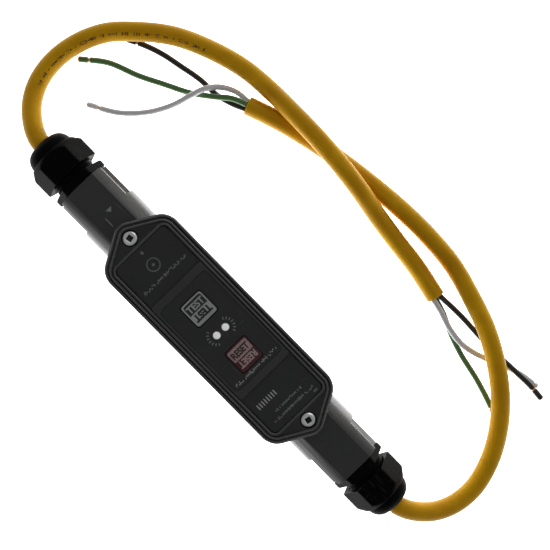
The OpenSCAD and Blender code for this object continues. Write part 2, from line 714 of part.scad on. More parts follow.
housing();
screw_inserts();
cover_gasket();
cover();
cover_screws();
screw_seals();
upper_label();
lower_label();
control_bezel();
keypad_membrane();
button_carrier();
test_button();
reset_button();
test_spring();
reset_spring();
test_contact_pill();
reset_contact_pill();
power_lens();
fault_lens();
indicator_leds();
circuit_board();
board_screws();
control_chip();
sense_coil_core();
sense_coil_winding();
relay_base();
relay_yoke();
relay_coil();
relay_armature();
relay_contacts();
varistor();
filter_capacitor();
line_terminal_block();
load_terminal_block();
terminal_screws();
line_busbars();
load_busbars();
earth_link();
load_gland_body();
load_gland_oring();
load_gland_seal();
load_gland_claw();
load_thrust_ring();
load_gland_nut();
line_gland_body();
line_gland_oring();
line_gland_seal();
line_gland_claw();
line_thrust_ring();
line_gland_nut();
load_cord_tail();
line_cord_tail();
load_cord();
line_cord();
load_wire_black();
load_wire_white();
load_wire_green();
line_wire_black();
line_wire_white();
line_wire_green();
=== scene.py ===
# %% [markdown]
# # An in-line ground fault circuit interrupter, with its two stripped cords
# The object is a dark moulded body with a screwed cover, two push buttons and two lamps.
# A cable gland at each end holds a yellow cord, and each cord ends in three bared
# conductors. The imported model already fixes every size, place and joint. This script gives
# it the surfaces and finishes that a close look needs, and never moves a part of it.

import json
from math import radians

import bmesh
import bpy
import numpy as np
from mathutils import Matrix, Vector


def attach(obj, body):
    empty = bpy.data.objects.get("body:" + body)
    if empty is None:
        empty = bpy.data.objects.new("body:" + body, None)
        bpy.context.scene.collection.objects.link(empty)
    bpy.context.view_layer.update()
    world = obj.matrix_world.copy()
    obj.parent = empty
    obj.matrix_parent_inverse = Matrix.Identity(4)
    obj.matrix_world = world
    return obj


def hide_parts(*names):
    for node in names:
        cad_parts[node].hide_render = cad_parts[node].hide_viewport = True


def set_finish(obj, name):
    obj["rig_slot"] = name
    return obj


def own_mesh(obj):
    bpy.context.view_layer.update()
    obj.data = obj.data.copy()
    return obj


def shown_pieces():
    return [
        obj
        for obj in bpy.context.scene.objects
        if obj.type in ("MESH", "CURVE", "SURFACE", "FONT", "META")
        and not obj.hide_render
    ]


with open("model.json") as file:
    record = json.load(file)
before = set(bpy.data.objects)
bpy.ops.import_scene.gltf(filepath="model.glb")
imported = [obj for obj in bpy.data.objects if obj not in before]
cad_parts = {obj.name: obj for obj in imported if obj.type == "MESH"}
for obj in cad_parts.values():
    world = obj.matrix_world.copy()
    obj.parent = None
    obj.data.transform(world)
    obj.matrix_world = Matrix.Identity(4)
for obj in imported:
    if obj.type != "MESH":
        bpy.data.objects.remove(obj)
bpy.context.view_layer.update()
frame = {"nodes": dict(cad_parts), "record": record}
MM = 0.001

# %% [markdown]
# ## The camera
# The object lies on its flat back and is seen from almost straight above, from a little
# under half a metre. A camera in Blender looks along its own -Z, so turning it about Z only
# turns the picture. The small second turn tips it towards the line end.

# %% Set the camera
CAMERA_PLACE = (38.6 * MM, 21.4 * MM, 478.3 * MM)
LENS_LENGTH, SENSOR_WIDTH = 57.9, 36
PICTURE_TURN, TIP, TIP_TURN = radians(-44.64), -0.048, 0.006
camera = bpy.data.objects.new("camera", bpy.data.cameras.new("camera"))
bpy.context.scene.collection.objects.link(camera)
camera.data.sensor_width = SENSOR_WIDTH
camera.data.lens = LENS_LENGTH
camera.matrix_world = (
    Matrix.Translation(CAMERA_PLACE)
    @ Matrix.Rotation(TIP_TURN, 4, "Z")
    @ Matrix.Rotation(TIP, 4, "X")
    @ Matrix.Rotation(PICTURE_TURN, 4, "Z")
)
bpy.context.scene.camera = camera
print("camera height, in metres:", round(camera.matrix_world.translation.z, 4))

# %% [markdown]
# ## From arrays to pieces
# Every new surface here is a grid of points, worked out as one numpy array. Rows run along
# a profile or a path, columns run round it, and each face joins four neighbours. Where a
# whole row has shrunk to one point, as at the tip of a dome, the equal points are merged,
# so the surface closes.


# %% Build a mesh from a grid
def grid_faces(rows, columns, close_rows=False):
    """Faces of a grid whose columns run once round. With rows from bottom to top and
    columns anticlockwise, they point outwards. close_rows joins the last row to the first."""
    i = np.arange(rows if close_rows else rows - 1)[:, None]
    j = np.arange(columns)[None, :]
    ahead, beside = (i + 1) % rows, (j + 1) % columns
    corners = (
        i * columns + j,
        i * columns + beside,
        ahead * columns + beside,
        ahead * columns + j,
    )
    return np.stack(np.broadcast_arrays(*corners), -1).reshape(-1, 4)


SAME_POINT = 1e-7


def merge_points(mesh, within=SAME_POINT):
    """Joins points closer than within, in metres, so that poles and seams close."""
    work = bmesh.new()
    work.from_mesh(mesh)
    bmesh.ops.remove_doubles(work, verts=work.verts, dist=within)
    work.to_mesh(mesh)
    work.free()


def shown(name, mesh, body, *nodes):
    """An object at the origin that shows mesh, moves with body and stands for the nodes."""
    piece = bpy.data.objects.new(name, mesh)
    bpy.context.scene.collection.objects.link(piece)
    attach(piece, body)
    if nodes:
        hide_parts(*nodes)
    return piece


def new_piece(name, points, faces, body, *nodes, smooth=True, lay=None):
    """A piece with these points and faces. lay holds, for each point, its place on a cord
    pulled straight."""
    mesh = bpy.data.meshes.new(name)
    mesh.from_pydata(np.reshape(points, (-1, 3)).tolist(), [], [list(f) for f in faces])
    if lay is not None:
        kept = mesh.attributes.new("lay", "FLOAT_VECTOR", "POINT")
        kept.data.foreach_set("vector", np.asarray(lay, np.float32).ravel())
    merge_points(mesh)
    mesh.shade_smooth() if smooth else mesh.shade_flat()
    return shown(name, mesh, body, *nodes)


print("a grid of 3 rows and 4 columns has", len(grid_faces(3, 4)), "faces")

# %% [markdown]
# ## The cords
# Each cord is a fixed length of flexible jacket, so its shape starts as a line on the
# floor, not as a solid. A smooth curve runs through the points of its route, and rings are
# set across it. The real jacket shows the three twisted cores under it as a very shallow
# swell that winds round, and at the cut the rim is left open round the cores.


# %% Lines and rings
def even_line(route, step=1.0 * MM):
    """A smooth line through the route's points, at even steps. Between two points p and q
    with slopes s and t, at u from 0 to 1, it is
    (2u^3 - 3u^2 + 1) p + (u^3 - 2u^2 + u) s + (3u^2 - 2u^3) q + (u^3 - u^2) t."""
    route = np.asarray(route, float) * MM
    knots = np.append(0, np.cumsum(np.linalg.norm(np.diff(route, axis=0), axis=1)))
    slopes = np.gradient(route, knots, axis=0)
    at = np.linspace(0, knots[-1], 40 * len(route))
    i = np.clip(np.searchsorted(knots, at, "right") - 1, 0, len(route) - 2)
    span = (knots[i + 1] - knots[i])[:, None]
    u = (at - knots[i])[:, None] / span
    line = (
        (2 * u**3 - 3 * u**2 + 1) * route[i]
        + (u**3 - 2 * u**2 + u) * span * slopes[i]
        + (3 * u**2 - 2 * u**3) * route[i + 1]
        + (u**3 - u**2) * span * slopes[i + 1]
    )
    gone = distances(line)
    return along(line, np.linspace(0, gone[-1], int(gone[-1] / step) + 1))


def distances(line):
    """How far each point of a line is from its start, measured along it."""
    return np.append(0, np.cumsum(np.linalg.norm(np.diff(line, axis=0), axis=1)))


def along(line, stations):
    """The points of a line at these distances from its start."""
    gone = distances(line)
    return np.stack([np.interp(stations, gone, line[:, k]) for k in range(3)], -1)


def directions(line):
    """Three unit vectors at each point of a line: forward, to the side, and up."""
    forward = np.gradient(line, axis=0)
    forward /= np.linalg.norm(forward, axis=1)[:, None]
    side = np.cross([0, 0, 1], forward)
    side /= np.linalg.norm(side, axis=1)[:, None]
    return forward, side, np.cross(forward, side)


def sweep(line, stations, radii, around=32, swell=0.0, lay_length=60 * MM):
    """Rings round a line. The point at angle a of the ring at station s is
    centre(s) + r (cos a * side + sin a * up), where
    r = radius * (1 + swell * cos(3 a + 2 pi s / lay_length))."""
    stations, radii = np.asarray(stations, float), np.asarray(radii, float)
    gone = distances(line)
    axes = [np.stack([np.interp(stations, gone, v[:, k]) for k in range(3)], -1)
            for v in directions(line)]
    a = np.linspace(0, 2 * np.pi, around, endpoint=False)[None, :, None]
    s = stations[:, None, None]
    r = radii[:, None, None] * (1 + swell * np.cos(3 * a + 2 * np.pi * s / lay_length))
    points = along(line, stations)[:, None] + r * (np.cos(a) * axes[1][:, None]
                                                   + np.sin(a) * axes[2][:, None])
    lay = np.concatenate([r * np.cos(a), r * np.sin(a), s + 0 * a], -1)
    return points, lay


LOAD_ROUTE = [
    [0, 130.5, 17.2], [0, 132.5, 17.2], [1.2, 137.2, 16.5], [4.3, 143.6, 14.2],
    [10, 151, 11], [20, 157.7, 7.8], [34, 160.8, 5.6], [50, 158.6, 5.8],
    [64, 151.8, 7.8], [76, 140.6, 9.2], [88, 126.8, 7.2], [97.7, 108, 5.2],
    [103.6, 88, 5.4], [105, 70, 8.6], [104.8, 54, 13.8], [104.4, 36, 16.4],
    [103.3, 17, 16.3], [101.8, 0, 13.6], [99.8, -17, 8.2], [98, -34, 5.3],
    [96, -52, 5.2], [92.5, -70.5, 5.2],
]
LINE_ROUTE = [
    [0, -130.5, 17.2], [0, -132.5, 17.2], [1.2, -137, 16.4], [4.6, -143.8, 14],
    [11, -151.5, 10.6], [20.5, -157.3, 7.6], [34, -159.6, 5.7], [50, -155.6, 6],
    [66, -145.8, 8.2], [79.5, -133, 9.6], [90.5, -118, 10.2], [99.3, -102, 8.8],
    [106.4, -83, 5.4], [111, -64.5, 5.2], [112.4, -45, 5.2], [111.8, -24, 5.2],
    [109.7, -3, 5.2], [106.2, 19.5, 5.2], [101.7, 40.5, 5.2], [96.8, 58, 5.2],
    [91.2, 73.5, 5.2],
]
print("points on the two routes:", len(LOAD_ROUTE), len(LINE_ROUTE))

# %% Make the two cords
CORD_R = 5.1 * MM
EDGE = 0.5 * MM
WALL = 1.0 * MM
RING_STEP = 1.2 * MM
MOUTH_DEPTH = 0.7 * MM
cord_lines = {}
for end, route in (("load", LOAD_ROUTE), ("line", LINE_ROUTE)):
    line = even_line(route)
    length = distances(line)[-1]
    turn = np.linspace(0, np.pi / 2, 5)
    stations = np.concatenate([
        [0, 0], np.arange(RING_STEP, length - EDGE, RING_STEP),
        length - EDGE + EDGE * np.sin(turn),
        [length, length - MOUTH_DEPTH, length - MOUTH_DEPTH],
    ])
    radii = np.concatenate([
        [0], np.full(len(stations) - 9, CORD_R),
        CORD_R - EDGE + EDGE * np.cos(turn), [CORD_R - WALL, CORD_R - WALL, 0],
    ])
    points, lay = sweep(line, stations, radii, 40, swell=0.008)
    piece = new_piece(f"{end}_cord_jacket", points, grid_faces(len(stations), 40), "root",
                      f"{end}_cord", lay=lay)
    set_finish(piece, "cord_yellow")
    cord_lines[end] = line
    print(end, "cord, length in metres:", round(float(length), 4))

# %% [markdown]
# ## The conductors
# Each cord ends in a black, a white and a green conductor of about 14 AWG: soft insulation
# round stranded copper. On most of them the insulation is cut through near the end and the
# short slug is left in place, with a ring of bare copper in the gap. The insulation is one
# swept tube whose radius drops inside the copper in the gap, and the strands are seven thin tubes
# laid in a helix inside it.

# %% Routes of the conductors
WIRE_R = 1.6 * MM
STRAND_R = 0.36 * MM
STRAND_LAY = 14 * MM
GAP = 1.1 * MM
SOFT = 0.25 * MM
WIRE_STEP = 0.8 * MM
TIP_OF_COPPER = 0.4 * MM
WIRE_ROUTES = {
    "load_wire_black": [[94.4, -71, 6.2], [95.1, -78, 3], [95.6, -88, 1.8],
                        [95.2, -103, 1.8], [95.1, -115, 2.4], [95.2, -123, 4.6],
                        [95.6, -131, 5.2], [96, -141, 5.1], [95.4, -151, 4.9]],
    "load_wire_white": [[90.5, -70, 6.3], [89, -77.5, 5.2], [86, -88, 5.4],
                        [84.9, -98, 4.9], [87, -108.5, 2], [92, -121, 1.7],
                        [96.8, -133.5, 1.7], [98.7, -145.5, 1.7]],
    "load_wire_green": [[92.4, -70.5, 2.9], [89.8, -80, 1.7], [84.6, -92, 1.7],
                        [80.9, -104, 1.7], [77.9, -118.5, 1.7], [74.4, -131, 1.7],
                        [71, -141, 1.7]],
    "line_wire_black": [[89.3, 72.8, 4], [86.2, 80.3, 1.8], [83.8, 89, 1.7],
                        [83, 101, 1.7], [80.5, 113.5, 1.7], [77.6, 126, 1.7],
                        [74, 135.5, 1.7], [69.8, 143.5, 1.7]],
    "line_wire_white": [[93.1, 74.2, 4.2], [92.2, 83, 2.6], [86.5, 91.6, 5],
                        [80, 95.7, 6.4], [73, 98, 6.2], [64.4, 100.9, 3],
                        [52, 107.4, 1.7], [40.5, 117.5, 1.7], [30.5, 133.5, 1.7]],
    "line_wire_green": [[91.2, 73.6, 7.2], [88, 81.3, 5.8], [81.5, 89.3, 4.6],
                        [74.4, 99.5, 1.9], [67.8, 112, 1.7], [61, 125, 1.7],
                        [54, 141.5, 1.7], [44, 153.8, 1.7]],
}
# Length of the slug left beyond the cut; 0 where the insulation runs to the end
SLUG = {"load_wire_black": 7.6, "load_wire_white": 2.8, "load_wire_green": 5.5,
        "line_wire_black": 6.5, "line_wire_white": 7.2, "line_wire_green": 6.4}
print("conductors:", len(WIRE_ROUTES))


# %% Make the conductors
def helix(line, radius, phase, lay_length):
    """A line wound round another: centre + radius (cos b * side + sin b * up), where the
    angle b = phase + 2 pi * distance / lay_length."""
    _, side, up = directions(line)
    b = (phase + 2 * np.pi * distances(line) / lay_length)[:, None]
    return line + radius * (np.cos(b) * side + np.sin(b) * up)


def strands(name, line):
    """Seven strands of one conductor: one down the middle and six wound round it."""
    points, faces, lays = [], [], []
    for k in range(7):
        wound = helix(line, 0 if k == 0 else 2 * STRAND_R, k * np.pi / 3, STRAND_LAY)
        s = np.linspace(0, distances(wound)[-1], 20)
        s = np.concatenate([[0], s, [s[-1]]])
        r = np.concatenate([[0], np.full(20, STRAND_R), [0]])
        tube, lay = sweep(wound, s, r, 10)
        faces.append(grid_faces(len(s), 10) + len(s) * 10 * k)
        points.append(tube.reshape(-1, 3))
        lays.append(lay.reshape(-1, 3))
    return new_piece(name, np.concatenate(points), np.concatenate(faces), "root",
                     lay=np.concatenate(lays))


GAP_R = 0.85 * 3 * STRAND_R
for name, route in WIRE_ROUTES.items():
    end, _, colour = name.split("_")
    line = even_line(route, 0.5 * MM)
    length = distances(line)[-1]
    cut_at, stop = length - SLUG[name] * MM, length - TIP_OF_COPPER
    behind = np.arange(0, cut_at - SOFT, WIRE_STEP)
    stations = np.concatenate([
        [0], behind, [cut_at - SOFT, cut_at, cut_at],
        [cut_at + GAP, cut_at + GAP, cut_at + GAP + SOFT],
        np.linspace(cut_at + GAP + SOFT, stop - SOFT, 8)[1:], [stop, stop],
    ])
    radii = np.concatenate([
        [0], np.full(len(behind), WIRE_R), [WIRE_R, WIRE_R - SOFT, GAP_R],
        [GAP_R, WIRE_R - SOFT, WIRE_R], np.full(7, WIRE_R), [WIRE_R - SOFT, 0],
    ])
    points, lay = sweep(line, stations, radii, 20, swell=0.006, lay_length=STRAND_LAY)
    insulation = new_piece(f"{name}_insulation", points, grid_faces(len(stations), 20),
                           "root", name, lay=lay)
    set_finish(insulation, f"wire_{colour}")
    bare = along(line, np.linspace(cut_at - WIRE_STEP, length, 20))
    copper = strands(f"{name}_strands", bare)
    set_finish(copper, "copper")
    print(name, "length in metres:", round(float(length), 4))

# %% [markdown]
# ## Turned and moulded pieces
# Nuts, screws, lenses, buttons and rings are all one idea: a closed profile of radius and
# height, carried once round an axis. Two things make it more than a lathe. A ring's outline
# can be anything from a circle to a rounded square, and the whole can be cut by a hexagon
# or wound with a helical thread, all by changing one radius with the angle.


# %% Carry a profile round an axis
def circle_to_square(a, power):
    """Radius of a superellipse at angle a, for a half width of 1: a circle at power 2 and a
    rounded square at a high power. (|cos a|^p + |sin a|^p)^(-1/p)."""
    return (np.abs(np.cos(a)) ** power + np.abs(np.sin(a)) ** power) ** (-1 / power)


def hexagon(a, flats):
    """Distance to the side of a hexagon with a corner at angle 0, flats apart."""
    return flats / 2 / np.cos((a % (np.pi / 3)) - np.pi / 6)


def soft_least(p, q, blend):
    """The lesser of p and q, rounded over where they are within blend of each other."""
    low = np.minimum(p, q)
    return low - blend * np.log1p(np.exp(-np.abs(p - q) / blend)) * (np.abs(p - q) < 6 * blend)


def turned(profile, around=96, power=2, flats=None, thread=None, blend=0.15):
    """The profile (radius, height) in mm carried round Z. power gives each ring's outline.
    flats cuts it by a hexagon. thread = (root, low, high, pitch, depth) adds, to the rings
    of radius root between low and high, depth * wave(height / pitch - a / 2 pi), where wave
    is a trapezoid with rounded corners, fading in and out over one pitch."""
    profile = np.asarray(profile, float)
    a = np.linspace(0, 2 * np.pi, around, endpoint=False)[None, :]
    r, z = profile[:, :1], profile[:, 1:2]
    power = np.broadcast_to(np.asarray(power, float).reshape(-1, 1), r.shape)
    radius = r * circle_to_square(a, power)
    if flats:
        radius = np.where(r > 0.9 * flats / 2, soft_least(radius, hexagon(a, flats), blend), radius)
    if thread:
        root, low, high, pitch, depth = thread
        turn = (z / pitch - a / (2 * np.pi)) % 1
        wave = np.clip(1.8 - 4.8 * np.abs(turn - 0.5), 0, 1)
        fade = np.clip((z - low) / pitch, 0, 1) * np.clip((high - z) / pitch, 0, 1)
        wound = np.isclose(r, root) & (z > low) & (z < high)
        radius = radius + np.where(wound, depth * wave * wave * (3 - 2 * wave) * fade, 0)
    return np.stack([radius * np.cos(a), radius * np.sin(a), z + 0 * a], -1) * MM


def fillet(r, z, size, start, stop, steps=4):
    """Points of a round corner about the centre (r, z), in degrees."""
    a = np.radians(np.linspace(start, stop, steps + 1))
    return np.stack([r + size * np.cos(a), z + size * np.sin(a)], -1)


AXIS = 17.2 * MM


def into_barrel(points, end):
    """Lays a piece that was turned about Z along the barrel at the load or line end."""
    x, y, z = np.moveaxis(points, -1, 0)
    side = 1 if end == "load" else -1
    return np.stack([x, side * z, AXIS - side * y], -1)


print("a hexagon 28.6 across flats is", round(float(hexagon(0, 28.6)) * 2, 1), "over corners")

# %% [markdown]
# ## The gland nuts
# A dome nut is moulded nylon: a hexagon for the spanner, chamfered where it meets a smooth
# dome, and a rounded mouth that the cord leaves by. On the real nut a small step runs round
# the foot of the dome, and it is that step which catches the light.

# %% Make the gland nuts
NUT = np.concatenate([
    [[12.1, 109.0], [14.8, 109.0]], fillet(15.9, 109.6, 0.6, -90, 0),
    [[16.5, 110.6], [16.5, 113], [16.5, 116], [16.5, 118.6]], fillet(15.7, 119.4, 0.8, 0, 40),
    [[15.6, 120.8], [14.6, 121.9]], fillet(13.6, 122.7, 0.4, 40, 90), [[12.9, 123.1]],
    np.stack([7.2 + 5.6 * np.cos(np.linspace(0.05, np.pi / 2, 12)),
              123.2 + 7.3 * np.sin(np.linspace(0.05, np.pi / 2, 12))], -1),
    fillet(7.0, 129.7, 0.8, 90, 180),
    [[6.2, 128.0], [6.2, 126.6], [8.7, 126.6], [8.7, 125.2], [12.1, 118.5], [12.1, 113]],
])
NUT_FLATS, FLANGE_FLATS = 28.58, 27.37
for end in ("load", "line"):
    points = into_barrel(turned(NUT, 144, flats=NUT_FLATS), end)
    nut = new_piece(f"{end}_dome_nut", points, grid_faces(len(NUT), 144, close_rows=True),
                    f"{end}_gland_nut", f"{end}_gland_nut")
    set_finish(nut, "gland_black")
print("rings in the nut's profile:", len(NUT))

# %% [markdown]
# ## The gland bodies
# The body screws into the barrel and carries a hexagon flange, then the neck that the nut
# runs on. Its thread is a real helix here: at every point of the neck the radius depends on
# the height and the angle together.

# %% Make the gland bodies
NECK_R, PITCH, THREAD_DEPTH = 11.3, 1.5, 0.7
THREAD = (NECK_R, 105.05, 116.9, PITCH, THREAD_DEPTH)
neck = np.arange(105.1, 117, PITCH / 12)
GLAND_BODY = np.concatenate([
    [[5.6, 89.0], [9.2, 89.0], [9.8, 89.6], [9.8, 101.3], [14.6, 101.3]],
    fillet(15.2, 101.9, 0.6, -90, 0), fillet(15.2, 104.4, 0.6, 0, 90), [[NECK_R, 105.0]],
    np.stack([np.full(len(neck), NECK_R), neck], -1),
    [[11.0, 117.0], [9.6, 117.0], [9.6, 112.0], [9.6, 108.0], [5.6, 108.0], [5.6, 98.0]],
])
for end in ("load", "line"):
    points = turned(GLAND_BODY, 96, flats=FLANGE_FLATS, thread=THREAD)
    body = new_piece(f"{end}_gland_neck", into_barrel(points, end),
                     grid_faces(len(GLAND_BODY), 96, close_rows=True), "root",
                     f"{end}_gland_body")
    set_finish(body, "gland_black")
print("rings on the neck:", len(neck))

# %% [markdown]
# ## Rings, screws and lenses
# The cover is held by two pan screws with a square recess. The recess is part of the same
# profile: its rings are nearly square, the head's are round. Under each head lies a rubber
# seal, which shows as a dark ring.

# %% Make the screws, their seals and the O-rings
SCREW = np.concatenate([
    [[0, 38.0], [1.05, 38.0], [1.35, 38.2], [1.4, 39.3], [1.6, 39.55]],
    fillet(2.9, 39.35, 0.25, 90, 60), fillet(3.3, 38.6, 0.5, 55, 0),
    [[3.8, 38.3], [3.8, 37.75]], fillet(3.45, 37.7, 0.3, 0, -90),
    [[1.9, 37.4], [1.9, 37.0], [1.6, 36.8], [1.6, 28.5], [0.8, 27.4], [0, 27.3]],
])[::-1]
recess = np.r_[2, 14, 14, 14, 9, np.full(len(SCREW) - 5, 2)][::-1]


def placed(points, x, y, turn=0.0):
    """Turns points about Z, then moves them across."""
    c, s = np.cos(turn), np.sin(turn)
    px, py, pz = np.moveaxis(points, -1, 0)
    return np.stack([c * px - s * py + x * MM, s * px + c * py + y * MM, pz], -1)


def joined(name, parts, rows, columns, body, *nodes, close_rows=False):
    """One piece made of several equal grids."""
    faces = grid_faces(rows, columns, close_rows)
    faces = np.concatenate([faces + k * rows * columns for k in range(len(parts))])
    return new_piece(name, np.concatenate([p.reshape(-1, 3) for p in parts]), faces, body, *nodes)


SCREW_Y, SCREW_TURN = 63.4, radians(12)


def at_both_screws(points, turn=SCREW_TURN):
    """The same points at the two screws, turned by turn at one and back by it at the other."""
    return [placed(points, 0, s * SCREW_Y, turn * s) for s in (1, -1)]


heads = at_both_screws(turned(SCREW, 64, power=recess))
screws = joined("cover_pan_screws", heads, len(SCREW), 64, "root", "cover_screws")
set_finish(screws, "screw_zinc")

# Each recess is lined with a thin dark cup: painted shade, standing for the dark deep in the recess
SHADE_CUP = np.array([[0, 38.02], [1.03, 38.02], [1.32, 38.2], [1.37, 39.3], [1.33, 39.3],
                [1.28, 38.25], [1.0, 38.05], [0, 38.05]])
shade_cups = at_both_screws(turned(SHADE_CUP, 64, power=14))
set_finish(joined("screw_recess_painted_shade", shade_cups, len(SHADE_CUP), 64, "root"), "gasket_rubber")

seal = fillet(3.1, 37.2, 0.2, -90, 90) + [0.7, 0]
seal = np.concatenate([seal, [[2.3, 37.4], [2.1, 37.2], [2.3, 37.0]]])
rings = at_both_screws(turned(seal, 48), turn=0.0)
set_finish(joined("screw_head_seals", rings, len(seal), 48, "root", "screw_seals",
               close_rows=True), "gasket_rubber")
for end in ("load", "line"):
    ring = fillet(11.2, 100.9, 0.4, -90, 90) + [1.0, 0]
    ring = np.concatenate([ring, [[10.2, 101.3], [9.85, 100.9], [10.2, 100.5]]])
    piece = new_piece(f"{end}_o_ring", into_barrel(turned(ring, 72), end),
                      grid_faces(len(ring), 72, close_rows=True), "root", f"{end}_gland_oring")
    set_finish(piece, "gasket_rubber")
print("screws stand", round(SCREW[:, 1].max(), 2), "mm above the back")

# %% Make the lenses and the button caps
LENS = np.concatenate([
    [[0, 30.6], [1.7, 30.6], [1.95, 30.85], [1.95, 32.6], [2.7, 32.6], [2.7, 33.6],
     [1.95, 33.6], [1.95, 38.2], [1.8, 38.4], [1.8, 39.45]],
    np.stack([1.8 * np.cos(np.linspace(0.1, np.pi / 2, 8)),
              39.45 + 0.5 * np.sin(np.linspace(0.1, np.pi / 2, 8))], -1),
])
for name, x in (("power_lens", -3), ("fault_lens", 3)):
    dome = new_piece(f"{name}_dome", placed(turned(LENS, 48), x, -1),
                     grid_faces(len(LENS), 48), "root", name)
    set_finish(dome, "lens")

# From the stem's foot up to the crowned top: heights in mm, and how square each ring is
CAP = np.concatenate([
    [[0, 27.8], [2.8, 27.8], [3, 28.0], [3, 32.4], [3.9, 32.4], [3.9, 33.2], [3, 33.2],
     [3, 37.6], [6.5, 37.6], [6.75, 37.75]],
    [[6.85, 38.1], [6.85, 39.2]], fillet(6.4, 39.35, 0.45, 0, 90, 5),
    [[5, 39.81], [3.4, 39.82], [1.7, 39.82], [0, 39.82]],
])
squareness = np.r_[np.full(8, 2), np.full(10, 13), 11, 8, 5, 2]
TEST_Y, RESET_Y = 14.6, -17.2
for name, y in (("test_button", TEST_Y), ("reset_button", RESET_Y)):
    cap = new_piece(f"{name}_cap", placed(turned(CAP, 160, power=squareness), 0, y),
                    grid_faces(len(CAP), 160), name, name)
    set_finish(cap, name.replace("button", "cap"))
print("cap's rings:", len(CAP), "outlines:", len(squareness))

# %% [markdown]
# ## The buttons' springs
# Under each cap a small steel coil pushes the button back out. Its foot stands on the
# carrier plate and its top bears on the cap, so the real one gets shorter as the button goes
# in. Here it is a round wire carried along a helix of one fixed height, and it does not
# follow the button's travel. A coil that kept its length would stick up through the cap.


# %% Make the springs
SPRING_FOOT, SPRING_TOP = 35.2, 37.6
SPRING_R, SPRING_WIRE, SPRING_TURNS = 3.9, 0.2, 2.5
SPRING_GAP = 0.02
SPRING_HEIGHT = SPRING_TOP - SPRING_FOOT


def coil(y):
    """The middle of a spring's wire, in metres. At share t of its length it is at
    (r cos b, y + r sin b, foot + wire + t * rise), where the angle b = 2 pi turns t."""
    t = np.linspace(0, 1, 121)
    b = 2 * np.pi * SPRING_TURNS * t
    rise = SPRING_HEIGHT - 2 * SPRING_WIRE - SPRING_GAP
    return MM * np.stack([SPRING_R * np.cos(b), y + SPRING_R * np.sin(b),
                          SPRING_FOOT + SPRING_WIRE + t * rise], -1)


for name, y in (("test", TEST_Y), ("reset", RESET_Y)):
    line = coil(y)
    length = distances(line)[-1]
    stations = np.concatenate([[0], np.linspace(0, length, 120), [length]])
    radii = MM * np.concatenate([[0], np.full(120, SPRING_WIRE), [0]])
    points, lay = sweep(line, stations, radii, 10)
    spring = new_piece(f"{name}_spring_coil", points, grid_faces(len(stations), 10), "root",
                       f"{name}_spring", lay=lay)
    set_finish(spring, "spring_steel")
    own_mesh(spring)

# %% [markdown]
# ## Shapes that are already right
# The body, the cover, the bezel and the films have the right shape in the frame, but with
# knife edges, and no moulded edge is that sharp. Each gets a copy: the copy's loose
# triangles are joined, flat areas become single faces, and a narrow bevel rounds the edges
# so that they catch a line of light. Large faces with many corners are then cut into
# triangles again, because they shade badly. The housing keeps them, and its bevel is held to
# its shortest edge, because a wider one folds over itself on the barrels.


# %% Soften copies of the frame's own shapes
SHARP = radians(24)
FLAT = radians(0.5)


def softened(name, node, width, top, clamp):
    """A copy of a node's mesh with rounded edges. Nothing of it is left above top, in mm.
    clamp keeps every edge's rounding as narrow as the shortest edge needs."""
    mesh = frame["nodes"][node].data.copy()
    mesh.materials.clear()
    work = bmesh.new()
    work.from_mesh(mesh)
    bmesh.ops.remove_doubles(work, verts=work.verts, dist=SAME_POINT)
    for corner in work.verts if top else ():
        corner.co.z = min(corner.co.z, top * MM)
    bmesh.ops.dissolve_limit(work, angle_limit=FLAT, verts=work.verts, edges=work.edges)
    if not clamp:
        bmesh.ops.triangulate(work, faces=[face for face in work.faces if len(face.verts) > 4])
    work.to_mesh(mesh)
    work.free()
    mesh.shade_smooth()
    mesh.set_sharp_from_angle(angle=SHARP)
    piece = shown(name, mesh, "root", node)
    bevel = piece.modifiers.new("edges", "BEVEL")
    bevel.limit_method = "ANGLE"
    bevel.angle_limit = SHARP
    bevel.width = width * MM
    bevel.segments = 2
    bevel.use_clamp_overlap = clamp
    bevel.harden_normals = True
    return piece


# Copies by node: name, edge radius in mm, material slot, and the level they are cut to
SOFTENED = {
    "housing": ("moulded_body", 0.3, "housing_grey", None),
    "cover": ("moulded_cover", 0.2, "cover_black", 39.3),
    "control_bezel": ("control_surround", 0.18, "bezel_grey", None),
    "keypad_membrane": ("keypad_film", 0.1, "membrane", None),
    "upper_label": ("upper_film", 0.08, "label_film", None),
    "lower_label": ("lower_film", 0.08, "label_film", None),
    "cover_gasket": ("cover_seal", 0.25, "gasket_rubber", None),
}
for node, (name, width, slot, top) in SOFTENED.items():
    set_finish(softened(name, node, width, top, clamp=node == "housing"), slot)
print("softened copies:", len(SOFTENED))

# %% [markdown]
# ## The cover's ridges
# Two ridges and a lip run round the cover, and a third ridge frames the panel. On the real
# cover their tops are round, which is why each shows as one soft line of light. So the copy
# of the cover above was cut level, and each ridge is carried here along its own outline: the
# profile gives, for each point, how far in from the cover's edge it lies and how high.


# %% Outlines of the cover and the panel
def arcs(corners, steps=12):
    """Points of round corners, joined. Each corner is (x, y, radius, start, stop)."""
    parts = []
    for x, y, radius, start, stop in corners:
        a = np.radians(np.linspace(start, stop, steps + 1))
        parts.append(np.stack([x + radius * np.cos(a), y + radius * np.sin(a)], -1))
    return np.concatenate(parts)


def cover_line(inset):
    """The cover's outline, moved in: four corners of radius 10 and two noses of 7.8."""
    x, corner_r, nose_r, nose_y = 12.8, 10, 7.8, 71.4 - 7.8
    slope = np.pi / 3
    y = (nose_y * np.sin(slope) + nose_r - corner_r - x * np.cos(slope)) / np.sin(slope)
    corner, nose = corner_r - inset, nose_r - inset
    return arcs([(x, -y, corner, -60, 0), (x, y, corner, 0, 60), (0, nose_y, nose, 60, 120),
                 (-x, y, corner, 120, 180), (-x, -y, corner, 180, 240),
                 (0, -nose_y, nose, 240, 300)])


